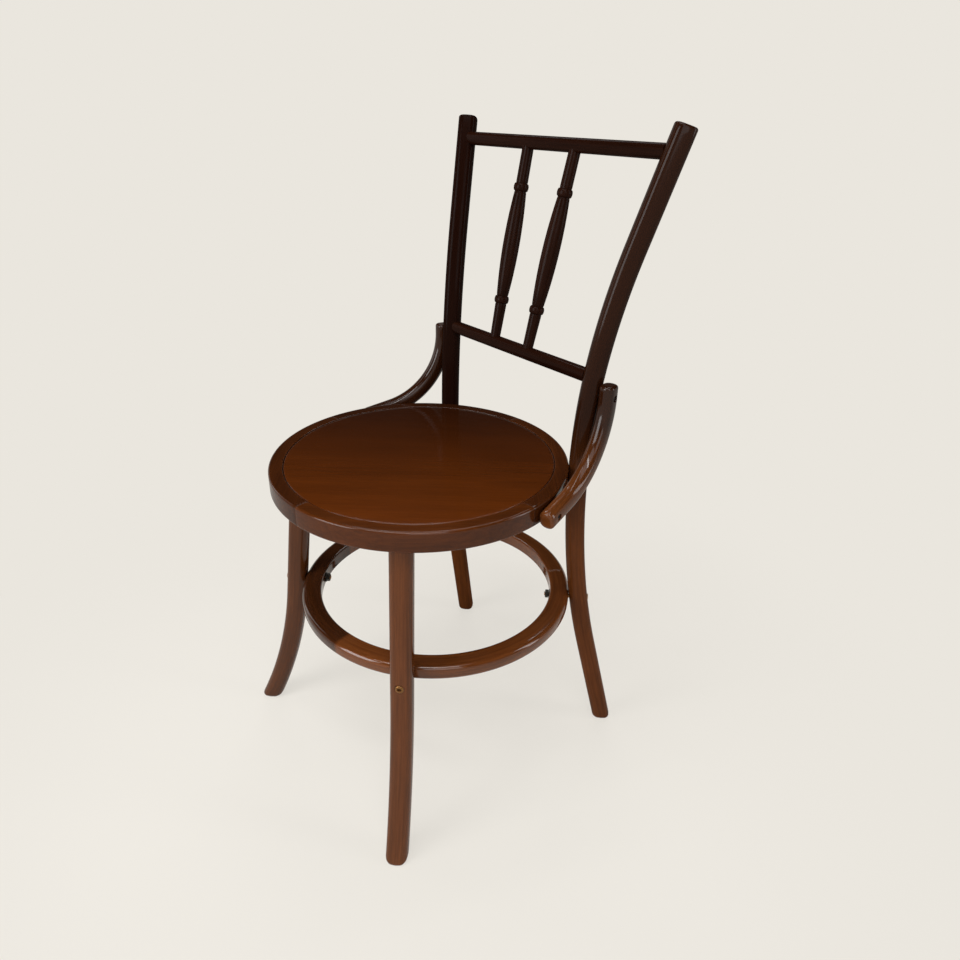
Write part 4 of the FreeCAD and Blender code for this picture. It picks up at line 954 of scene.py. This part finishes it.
class CHAIR_OT_seat(bpy.types.Operator):
    """Make the seat ring's four quarters and the panel set into them"""
    bl_idname = "chair.seat"
    bl_label = "Seat"

    def execute(self, context):
        sizes, colours, _ = settings(context)
        middle_radius = SEAT_RADIUS - RING_WIDTH / 2
        inner = SEAT_RADIUS - RING_WIDTH - middle_radius
        ledge = inner + REBATE_WIDTH
        shelf = SEAT_TOP - REBATE_DEPTH
        # The small radii are the sanded arrises of the bore and of the rebate.
        section = outline([
            (inner * MM, RING_UNDER * MM, 0.8 * MM),
            (-inner * MM, RING_UNDER * MM, sizes.ring_under_round),
            (-inner * MM, SEAT_TOP * MM, sizes.ring_top_round),
            (ledge * MM, SEAT_TOP * MM, 0.7 * MM),
            (ledge * MM, shelf * MM, -0.3 * MM),
            (inner * MM, shelf * MM, 0.5 * MM)], arc_steps=9)
        centre = MM * np.array([0.0, -SEAT_FORWARD, 0.0])
        wood = lacquered_beech("beech_stained_lacquered_seat_ring", colours.ring, 0.5, 0.12)
        gap = math.degrees(GLUE_LINE / 2 / SEAT_RADIUS)
        # Each quarter is darkened by its tone, which is partly painted shade.
        for number, (node, tone_and_shade) in enumerate(QUARTER_TONES_AND_SHADE):
            first = SEAM_TURN + 90 * number + gap
            last = first + 90 - 2 * gap
            line, full = ring_line(centre, middle_radius * MM, first, last)
            shape = sweep(section, line, full, [
                (centre, -direction(first + 90), sizes.seam_arris),
                (centre, direction(last + 90), sizes.seam_arris)], step=0.006)
            out = direction((first + last) / 2)
            ahead = direction((first + last) / 2 + 90)
            spots = shape["points"] - centre
            shape["grain"] = np.stack([spots @ out, spots[:, 2] + 0.013 * number,
                                       spots @ ahead + 0.37 * number], 1)
            shape["tone_and_shade"] = np.full(len(spots), tone_and_shade)
            make_piece(f"beech_{node}", shape, wood, [node])

        edge = ledge + middle_radius - sizes.panel_groove / MM
        under = shelf + GLUE_LINE
        top = under + PANEL_THICKNESS
        rounding = sizes.panel_round / MM
        angles = np.linspace(0, math.pi / 2, 7)
        rings = [((share * (edge - 1)) * MM, under * MM) for share in (0.25, 0.5, 0.75, 1.0)]
        rings += [(edge * MM, (under + 0.6) * MM)]
        rings += [((edge - rounding * (1 - math.cos(angle))) * MM,
                   (top - rounding * (1 - math.sin(angle))) * MM) for angle in angles]
        rings += [(share * edge * MM, top * MM) for share in (0.97, 0.9, 0.75, 0.5, 0.25)]
        shape = turned(rings, centre, UP, columns=144)
        along = direction(VENEER_TURN)
        spots = shape["points"] - centre
        shape["grain"] = np.stack([spots @ direction(VENEER_TURN + 90), spots[:, 2],
                                   spots @ along], 1)
        # Painted shade: the panel is drawn darker toward its back-left side.
        reach = spots @ direction(PANEL_SHADE_SIDE) / (edge * MM)
        shape["tone_and_shade"] = PANEL_SHADE * np.clip(0.5 + 0.62 * reach, 0, 1)
        veneer = lacquered_beech("beech_veneer_stained_lacquered", colours.panel, 0.6, 0.12,
                                 drift=0.5, seed=3.1)
        make_piece("beech_seat_panel", shape, veneer, ["seat_panel"])
        return {"FINISHED"}


class CHAIR_OT_legs(bpy.types.Operator):
    """Make the two front legs and the two rear posts, with the bolts' and screws' recesses"""
    bl_idname = "chair.legs"
    bl_label = "Legs and posts"

    def execute(self, context):
        sizes, colours, _ = settings(context)
        wood = lacquered_beech("beech_bent_stained_lacquered_legs", colours.legs, 0.55, 0.14,
                               seed=7.7)
        rear_wood = {"left": lacquered_beech("beech_bent_stained_lacquered_post", colours.legs,
                                             0.2, 0.12, seed=8.2),
                     "right": lacquered_beech("beech_bent_stained_dull_post", colours.legs,
                                              0.04, 0.14, seed=8.9)}
        floor = (np.zeros(3), -UP, sizes.foot_round)
        foot_bolts = foot_bolt_lines()
        seat_bolts = post_bolt_lines()
        screws = brace_screw_lines(sizes.post_round / MM)[1]
        section = rounded_bar(LEG["side"] * MM, LEG["side"] * MM, sizes.leg_round,
                              crown=sizes.crown)
        post_section = rounded_bar(POST["side"] * MM, POST["side"] * MM, sizes.post_round,
                                   crown=sizes.crown)
        radius = BOLT["recess"] / 2 * MM
        for index, (name, side) in enumerate(SIDES):
            line, full = leg_line(side)
            top = ((RING_UNDER - GLUE_LINE) * MM * UP, UP, 0.0)
            seat, inward, _ = foot_bolts[2 * index]
            shape = sweep(section, line, full, [top, floor], recesses=[(seat, inward, radius)])
            shape["grain"][:, 2] += WOOD_STEP * index
            # Painted shade: the right leg is drawn darker than the left.
            shape["tone_and_shade"] = shape["tone_and_shade"] + LEG_SHADE_STEP * index
            make_piece(f"beech_front_leg_{name}", shape, wood, [f"front_leg_{name}"])

            line, full, _ = post_line(side)
            end = line(np.array(full))
            seat, inward, _ = foot_bolts[2 * index + 1]
            recesses = [(seat, inward, radius), (*seat_bolts[index][:2], radius)]
            top = (end[0], end[3], POST["top_round"] * MM)
            shape = sweep(post_section, line, full, [floor, top], recesses=recesses)
            shape["grain"][:, 2] += 2.1 + WOOD_STEP * index
            # Painted shade: each post is drawn darker toward its top.
            start, darkest_shade = POST_SHADE_FADE[name]
            share = np.clip((shape["points"][:, 2] - start) / POST_SHADE_LENGTH, 0, 1)
            shape["tone_and_shade"] = darkest_shade * share * share * (3 - 2 * share)
            make_piece(f"beech_rear_post_{name}", shape, rear_wood[name], [f"rear_post_{name}"])
        return {"FINISHED"}


class CHAIR_OT_foot_ring(bpy.types.Operator):
    """Make the bent foot ring"""
    bl_idname = "chair.foot_ring"
    bl_label = "Foot ring"

    def execute(self, context):
        _, colours, _ = settings(context)
        middle, radius = foot_ring_place()
        x = FOOT_RING["width"] / 2 * MM
        y = FOOT_RING["depth"] / 2 * MM
        outer = FOOT_RING["outer_round"] * MM
        inner = FOOT_RING["inner_round"] * MM
        section = outline([(-x, -y, inner), (x, -y, outer), (x, y, outer), (-x, y, inner)])
        centre = np.array([0.0, middle, FOOT_RING_HEIGHT * MM])
        line, full = ring_line(centre, radius - x, 60, 420)
        shape = closed_ring(section, line, full, 220)
        spots = shape["points"] - centre
        around_ring = np.degrees(np.arctan2(spots[:, 1], spots[:, 0]))
        # Painted shadow: the seat's shadow on the ring is drawn as a dark band between two
        # azimuths.
        shadow_tones = FOOT_RING_SHADOW_TONES
        between = (around_ring > shadow_tones["from"]) & (around_ring < shadow_tones["to"])
        shape["tone_and_shade"] = np.where(between, shadow_tones["between"], shadow_tones["rest"])
        # Painted light: the ring's stain is the legs' stain made lighter, for the lit front of the
        # ring.
        wood = lacquered_beech("beech_bent_stained_lacquered_ring", shade(colours.legs, 1.4),
                               0.85, 0.09, seed=5.3)
        make_piece("beech_foot_ring", shape, wood, ["foot_ring"])
        return {"FINISHED"}


class CHAIR_OT_back(bpy.types.Operator):
    """Make the two rails and the two turned spindles between them"""
    bl_idname = "chair.back"
    bl_label = "Back"

    def execute(self, context):
        sizes, colours, _ = settings(context)
        # The back's near-black stain is painted shade.
        wood = lacquered_beech("beech_turned_stained_lacquered_back", colours.back, 0.08, 0.22,
                               seed=9.4)
        line, full, _ = post_line(1)
        ends = []
        section = rounded_bar(RAIL["thickness"] * MM, RAIL["depth"] * MM, RAIL["round"] * MM,
                              crown=0.2 * MM)
        for node, height in (("lower_rail", LOW_RAIL_HEIGHT), ("top_rail", TOP_RAIL_HEIGHT)):
            post = line_at_height(line, full, height)[1]
            shoulder = post[0] - MM * (reach_of_section(
                POST["side"], sizes.post_round / MM, POST["azimuth"]) - RAIL["housing"])
            start = np.array([-shoulder, post[1], height * MM])
            stop = np.array([shoulder, post[1], height * MM])
            ahead = direction(0)
            bar, length = straight_line(start, stop, np.array([0.0, 1.0, 0.0]), UP)
            shape = sweep(section, bar, length, [(start, -ahead, 0.0), (stop, ahead, 0.0)])
            shape["grain"][:, 2] += height * MM
            make_piece(f"beech_{node}", shape, wood, [node])
            ends.append(np.array([0.0, post[1], height * MM]))
        for name, side in SIDES:
            low, top = (end + MM * np.array([side * spread - shift, 0, 0])
                        for end, (spread, shift) in zip(ends, SPINDLES.values()))
            length = np.linalg.norm(top - low) / MM
            shape = turned(spindle_rings(length), low, top - low, columns=56)
            shape["grain"][:, 2] += 3.0 + side
            shape["wear"] = np.clip(np.hypot(shape["grain"][:, 0], shape["grain"][:, 1]) / MM
                                    - 8.6, 0, 0.9)
            make_piece(f"beech_spindle_{name}", shape, wood, [f"spindle_{name}"])
        return {"FINISHED"}


def spindle_rings(length):
    """A spindle's radius along its length, in millimetres turned to metres.

    The necks taper straight to the collars. Over a bead and over the belly the radius is
    collar + rise (1 - t^2)^p, t from -1 to 1, with p 0.5 for a round bead and 1 for the belly.
    A quirk beside each bead is cut 0.45 deep, as exp(-(distance / 0.5)^2).
    """
    entry = RAIL["depth"] / 2 - SPINDLE["inside"]
    low_bead = SPINDLE["low_bead"]
    top_bead = length - SPINDLE["top_bead"]
    half = SPINDLE["bead_half"]
    bounds = (entry, low_bead - half, low_bead + half, top_bead - half, top_bead + half,
              length - entry)
    along = np.unique(np.concatenate([
        np.linspace(first, last, count)
        for first, last, count in zip(bounds, bounds[1:], (24, 25, 80, 25, 24))]))
    radius = np.interp(along, [bounds[index] for index in (0, 1, 4, 5)], SPINDLE["radii"])
    for centre, reach, rise, power in (
            (low_bead, half, SPINDLE["bead_rise"], 0.5),
            (top_bead, half, SPINDLE["bead_rise"], 0.5),
            ((low_bead + top_bead) / 2, (top_bead - low_bead) / 2 - half,
             SPINDLE["belly_rise"], 1.0)):
        share = np.clip(1 - ((along - centre) / reach) ** 2, 0, 1)
        radius = radius + rise * share ** power
    for bead in (low_bead, top_bead):
        for sign in (-1, 1):
            radius -= SPINDLE["quirk"] * np.exp(-((along - bead - sign * (half + 0.3)) / 0.5) ** 2)
    return in_metres(zip(radius, along))


class CHAIR_OT_braces(bpy.types.Operator):
    """Make the two bent hip braces, with their screws' recesses"""
    bl_idname = "chair.braces"
    bl_label = "Hip braces"

    def execute(self, context):
        sizes, colours, _ = settings(context)
        post_round = sizes.post_round / MM
        wood = lacquered_beech("beech_bent_stained_lacquered_braces", colours.legs, 0.5, 0.1,
                               seed=2.6)
        section = rounded_bar(BRACE["depth"] * MM, BRACE["thickness"] * MM, BRACE["round"] * MM,
                              crown=0.2 * MM)
        front, upper = brace_screw_lines(post_round)
        for index, (name, side) in enumerate(SIDES):
            line, full, start, _, _ = brace_line(side, post_round)
            end = line(np.array(full))
            recesses = [(*front[index], SCREW["recess"] / 2 * MM),
                        (*upper[index], SCREW["recess"] / 2 * MM)]
            shape = sweep(section, line, full, [
                (start, UP, BRACE["end_round"] * MM),
                (end[0], end[3], BRACE["end_round"] * MM)],
                          step=0.004, recesses=recesses)
            # Painted shade: the left brace is drawn darker toward its top, and the right brace
            # dark all over.
            height = shape["points"][:, 2]
            rise = (height - BRACE_SHADE_TONES["start"]) / BRACE_SHADE_TONES["length"]
            shape["tone_and_shade"] = (np.clip(rise, 0, BRACE_SHADE_TONES["left"]) if side > 0
                             else np.full(len(height), BRACE_SHADE_TONES["right"]))
            shape["grain"][:, 2] += index
            make_piece(f"beech_hip_brace_{name}", shape, wood, [f"hip_brace_{name}"])
        return {"FINISHED"}


class CHAIR_OT_fasteners(bpy.types.Operator):
    """Make the bolts, washers, nuts and screws, and finish the hidden dowels"""
    bl_idname = "chair.fasteners"
    bl_label = "Fasteners"

    def execute(self, context):
        sizes, colours, _ = settings(context)
        bronze = plated_steel("steel_bronzed_pressed", colours.bronze, 0.34)
        zinc = plated_steel("steel_zinc_plated", colours.zinc, 0.42, seed=0.4)
        black = plated_steel("steel_blackened", linear("#2a2624"), 0.4, seed=0.8)
        for place_name, lines in (("foot_ring", foot_bolt_lines()), ("post", post_bolt_lines())):
            bolts = [turned(bolt_rings(grip / MM), seat - inward * BOLT["head_height"] * MM,
                            inward) for seat, inward, grip in lines]
            washers = [turned(washer_rings(), seat + inward * (grip + GLUE_LINE * MM), inward,
                              closed=True) for seat, inward, grip in lines]
            nuts = [turned(nut_rings(), seat + inward * (grip + (2 * GLUE_LINE
                                                                 + WASHER["thick"]) * MM),
                           inward, closed=True) for seat, inward, grip in lines]
            for kind, shapes, metal, slot in (("bolts", bolts, bronze, "bronzed_steel"),
                                              ("washers", washers, zinc, "zinc_steel"),
                                              ("nuts", nuts, zinc, "zinc_steel")):
                node = f"{place_name}_{kind}"
                make_piece(f"steel_{node}", merge(shapes), metal, [node])
        front, upper = brace_screw_lines(sizes.post_round / MM)
        long_shank = BRACE["thickness"] - SCREW["sink"] + SCREW["bite"]
        tenon = []
        for _, side in SIDES:
            azimuth = mirrored(LEG["azimuth"], side)
            stand = SEAT_RADIUS - RING_WIDTH + SCREW["tenon_stand"]
            tenon.append((on_seat(stand, azimuth, JOINT_HEIGHT), direction(azimuth)))
        for node, lines, shank in (("brace_front_screws", front, long_shank),
                                   ("brace_upper_screws", upper, long_shank),
                                   ("leg_tenon_screws", tenon, SCREW["tenon_shank"])):
            shapes = [turned(screw_rings(shank), seat - GLUE_LINE * MM * inward, inward)
                      for seat, inward in lines]
            make_piece(f"steel_{node}", merge(shapes), black, [node])
        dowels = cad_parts["seat_ring_dowels"]
        dowels.data.materials.clear()
        dowels.data.materials.append(raw_beech("beech_dowel_raw"))
        return {"FINISHED"}


def around(columns=48):
    """The angles round an axis at which a turned form has its points."""
    return np.linspace(0, TURN, columns, endpoint=False)


def in_metres(rings):
    """Rings of (radius, height) turned from millimetres to metres."""
    return [(radius * MM, height * MM) for radius, height in rings]


def bolt_rings(grip):
    """A bolt from the floor of its hexagon socket, over its domed head, down to its point.

    The thread is a helix: radius + 0.16 cos(turn z / pitch - a).
    """
    hexagon = corner_radius(around(), BOLT["socket"], 6)
    deep = BOLT["socket_depth"]
    outer = BOLT["head"] / 2
    under = BOLT["head_height"] - GLUE_LINE
    shank = BOLT["shank"] / 2
    end = BOLT["head_height"] + grip + WASHER["thick"] + NUT["height"] + NUT["tail"]
    rings = [(hexagon * 0.5, deep), (hexagon * 0.98, deep), (hexagon, deep - 0.1),
             (hexagon, 0.55), (hexagon + 0.25, 0.28)]
    angles = np.linspace(0.15, 1, 7) * math.pi / 2
    rings += [(hexagon * 0 + 3.4 + (outer - 3.4) * math.sin(angle),
               0.2 + 1.5 * (1 - math.cos(angle))) for angle in angles]
    rings += [(outer, under - 0.2), (outer - 0.2, under), (shank + 0.3, under),
              (shank, under + 0.3), (shank, end - 12)]
    for along in np.arange(end - 12, end - 0.6, 0.25):
        rings.append((shank - 0.16 + 0.16 * np.cos(TURN * along - around()), along))
    rings += [(shank - 0.5, end - 0.1), (shank - 0.9, end)]
    return in_metres(rings)


def washer_rings():
    """A flat washer: bore, face, rim, face, with arrises 0.15 wide."""
    bore = BOLT["shank"] / 2 + 0.15
    rim = WASHER["across"] / 2
    thick = WASHER["thick"]
    rings = [(bore, 0.15), (bore + 0.15, 0), (rim - 0.15, 0), (rim, 0.15), (rim, thick - 0.15),
             (rim - 0.15, thick), (bore + 0.15, thick), (bore, thick - 0.15)]
    return in_metres(rings)


def nut_rings():
    """A hexagon nut. Its corners are cut by a cone: the height falls by 0.58 per millimetre
    that the hexagon stands out of its inner circle."""
    hexagon = corner_radius(around(), NUT["flats"], 6)
    inner = NUT["flats"] / 2
    fall = 0.58 * (hexagon - inner)
    bore = BOLT["shank"] / 2 + 0.15
    tall = NUT["height"]
    rings = [(bore, 0.4), (bore + 0.4, 0), (inner - 0.1, 0), (hexagon, 0.06 + fall),
             (hexagon, tall - 0.06 - fall), (inner - 0.1, tall), (bore + 0.4, tall),
             (bore, tall - 0.4)]
    return in_metres(rings)


def screw_rings(shank_length):
    """A wood screw from its head's middle, with a cross recess, down its thread to its point.

    The recess is as deep as 1.5 (1 - r / 2.3) where the nearer arm's line is within 0.5.
    """
    angle = around()
    radius = SCREW["head"] / 2
    rings = []
    for r in (0.35, 0.7, 1.05, 1.4, 1.75, 2.1, 2.4, 3.0, 3.5, 3.85):
        off = np.minimum(np.abs(np.sin(angle)), np.abs(np.cos(angle))) * r
        arm = np.clip((0.62 - off) / 0.2, 0, 1) * max(0.0, 1 - r / 2.3)
        dome = 0.7 * (r / radius) ** 2
        rings.append((r + 0 * angle, -2.6 + dome + 1.5 * arm))
    rings += [(radius, -1.6), (radius, -0.5), (2.1, 0.0)]
    for along in np.arange(0.4, shank_length, 0.4):
        ridge = 0.5 + 0.5 * np.cos(TURN * along / SCREW["pitch"] - angle)
        rings.append((1.45 + 0.55 * ridge ** 3, along))
    rings += [(1.2, shank_length + 1.2), (0.5, shank_length + 3.0), (0.1, shank_length + 3.9)]
    return in_metres(rings)


class CHAIR_OT_stage(bpy.types.Operator):
    """Make the pale floor, the room's light, the soft lamps and the camera"""
    bl_idname = "chair.stage"
    bl_label = "Stage"

    def execute(self, context):
        _, colours, stage = settings(context)
        scene = context.scene
        corners = FLOOR_HALF * np.array([[-1, -1, 0], [1, -1, 0], [1, 1, 0], [-1, 1, 0]], float)
        mesh = bpy.data.meshes.new("floor")
        mesh.from_pydata(corners.tolist(), [], [(0, 1, 2, 3)])
        floor = bpy.data.objects.new("floor", mesh)
        scene.collection.objects.link(floor)
        mesh.materials.append(painted_floor(colours.backdrop))
        room_light(scene, colours.backdrop, stage.sky)
        for name, spot, lamp_size, power, share in LAMPS:
            light = bpy.data.lights.new(name, "AREA")
            light.shape = "RECTANGLE"
            light.size, light.size_y = lamp_size
            light.energy = getattr(stage, power) * share
            lamp = bpy.data.objects.new(name, light)
            scene.collection.objects.link(lamp)
            lamp.matrix_world = looking(np.array(spot), LAMPS_AIM - spot, 0.0)
        camera = bpy.data.cameras.new("camera")
        camera.sensor_width = 36.0
        camera.lens = stage.lens
        camera.clip_start = 0.01
        holder = bpy.data.objects.new("camera", camera)
        scene.collection.objects.link(holder)
        azimuth, elevation, roll = (math.radians(CAMERA[key])
                                    for key in ("azimuth", "elevation", "roll"))
        ahead = -np.array([math.sin(azimuth) * math.cos(elevation),
                           -math.cos(azimuth) * math.cos(elevation), math.sin(elevation)])
        holder.matrix_world = looking(np.array(CAMERA["spot"]), ahead, roll)
        scene.camera = holder
        scene.view_settings.view_transform = "Standard"
        return {"FINISHED"}


def looking(spot, ahead, roll):
    """A placement at a spot, looking along a direction, turned by roll about it."""
    ahead = ahead / np.linalg.norm(ahead)
    right = np.cross(ahead, UP)
    right /= np.linalg.norm(right)
    up = np.cross(right, ahead)
    right, up = (math.cos(roll) * right + math.sin(roll) * up,
                 math.cos(roll) * up - math.sin(roll) * right)
    matrix = np.eye(4)
    matrix[:3, 0], matrix[:3, 1], matrix[:3, 2], matrix[:3, 3] = right, up, -ahead, spot
    return Matrix(matrix.tolist())


def painted_floor(colour):
    """A pale painted floor, matt. Near the chair it takes light and shadow, and further out it
    turns to the plain backdrop colour for what the camera and reflections see."""
    material, tree, output = new_material("paint_matt_floor")
    spot = add(tree, "ShaderNodeTexCoord").outputs["Object"]
    speck = add(tree, "ShaderNodeTexNoise", {"Vector": spot, "Scale": 1 / (3 * MM),
                                             "Detail": 2.0}).outputs["Fac"]
    coat = add(tree, "ShaderNodeMix", {SHARE: speck, FROM: shade(colour, 0.995),
                                       TO: shade(colour, 1.005)}, data_type="RGBA")
    lit = add(tree, "ShaderNodeBsdfDiffuse", {"Color": coat.outputs[RESULT]})
    plain = add(tree, "ShaderNodeEmission", {"Color": list(colour), "Strength": 1.0})
    away = add(tree, "ShaderNodeVectorMath", {0: spot}, operation="LENGTH")
    fade = add(tree, "ShaderNodeMapRange", {
        "Value": away.outputs["Value"], "From Min": FLOOR_FADE[0], "From Max": FLOOR_FADE[1],
        "To Min": 1 - FLOOR_SHADE}, interpolation_type="SMOOTHSTEP")
    seen = seen_rays(tree)
    share = add(tree, "ShaderNodeMath", {0: fade.outputs["Result"], 1: seen},
                operation="MULTIPLY")
    both = add(tree, "ShaderNodeMixShader", {0: share.outputs[0], 1: lit.outputs["BSDF"],
                                             2: plain.outputs["Emission"]})
    tree.links.new(both.outputs["Shader"], output.inputs["Surface"])
    return material


def seen_rays(tree):
    """One for rays from the camera, from a reflection or through glass, and otherwise nought."""
    path = add(tree, "ShaderNodeLightPath")
    first = add(tree, "ShaderNodeMath", {0: path.outputs["Is Camera Ray"],
                                         1: path.outputs["Is Glossy Ray"]}, operation="MAXIMUM")
    both = add(tree, "ShaderNodeMath", {0: first.outputs[0],
                                        1: path.outputs["Is Transmission Ray"]},
               operation="MAXIMUM")
    return both.outputs[0]


def room_light(scene, colour, strength):
    """A room with pale walls and a dim ceiling: the backdrop's colour up to eye level for what
    the camera and reflections see, a plain light for all else."""
    world = bpy.data.worlds.new("room")
    scene.world = world
    world.use_nodes = True
    tree = world.node_tree
    tree.nodes.clear()
    output = add(tree, "ShaderNodeOutputWorld")
    toward = add(tree, "ShaderNodeTexCoord").outputs["Generated"]
    height = add(tree, "ShaderNodeSeparateXYZ", {0: toward}).outputs["Z"]
    low = add(tree, "ShaderNodeMapRange", {"Value": height, "From Min": 0.05, "From Max": 0.36,
                                           "To Min": 1.0, "To Max": 0.0},
              interpolation_type="SMOOTHSTEP")
    path = add(tree, "ShaderNodeLightPath")
    bounced = add(tree, "ShaderNodeMath", {0: path.outputs["Is Glossy Ray"],
                                           1: path.outputs["Is Transmission Ray"]},
                  operation="MAXIMUM")
    shown = add(tree, "ShaderNodeMath", {0: bounced.outputs[0], 1: low.outputs["Result"]},
                operation="MULTIPLY")
    seen = add(tree, "ShaderNodeMath", {0: path.outputs["Is Camera Ray"], 1: shown.outputs[0]},
               operation="MAXIMUM")
    wall = add(tree, "ShaderNodeBackground", {"Color": list(colour), "Strength": 1.0})
    ceiling = add(tree, "ShaderNodeMix", {SHARE: low.outputs["Result"],
                                          FROM: linear("#2b2926"), TO: linear("#f4f0ea")},
                  data_type="RGBA")
    lighting = add(tree, "ShaderNodeBackground", {"Color": ceiling.outputs[RESULT],
                                                  "Strength": strength})
    both = add(tree, "ShaderNodeMixShader", {0: seen.outputs[0],
                                             1: lighting.outputs["Background"],
                                             2: wall.outputs["Background"]})
    tree.links.new(both.outputs["Shader"], output.inputs["Surface"])


class CHAIR_PT_panel(bpy.types.Panel):
    """The chair's pieces, its stage and their settings"""
    bl_idname = "CHAIR_PT_panel"
    bl_label = "Bentwood chair"
    bl_space_type = "VIEW_3D"
    bl_region_type = "UI"
    bl_category = "Chair"

    def draw(self, context):
        for operator in OPERATORS:
            self.layout.operator(operator.bl_idname)
        for group in settings(context):
            box = self.layout.box()
            for key in group.bl_rna.properties.keys():
                if key not in ("rna_type", "name"):
                    box.prop(group, key)


GROUPS = (("chair_sizes", ChairSizes), ("chair_colours", ChairColours),
          ("chair_stage", ChairStage))
OPERATORS = (CHAIR_OT_seat, CHAIR_OT_legs, CHAIR_OT_foot_ring, CHAIR_OT_back, CHAIR_OT_braces,
             CHAIR_OT_fasteners, CHAIR_OT_stage)
CLASSES = tuple(group for _, group in GROUPS) + OPERATORS + (CHAIR_PT_panel,)


def register():
    """Adds the classes and gives the scene its settings."""
    for item in CLASSES:
        bpy.utils.register_class(item)
    for key, group in GROUPS:
        setattr(bpy.types.Scene, key, PointerProperty(type=group))


def unregister():
    """Takes the settings and the classes away again."""
    for key, _ in GROUPS:
        delattr(bpy.types.Scene, key)
    for item in reversed(CLASSES):
        bpy.utils.unregister_class(item)


def main():
    """Makes the pieces in order."""
    register()
    for operator in OPERATORS:
        family, name = operator.bl_idname.split(".")
        getattr(getattr(bpy.ops, family), name)()


if __name__ == "__main__":
    main()
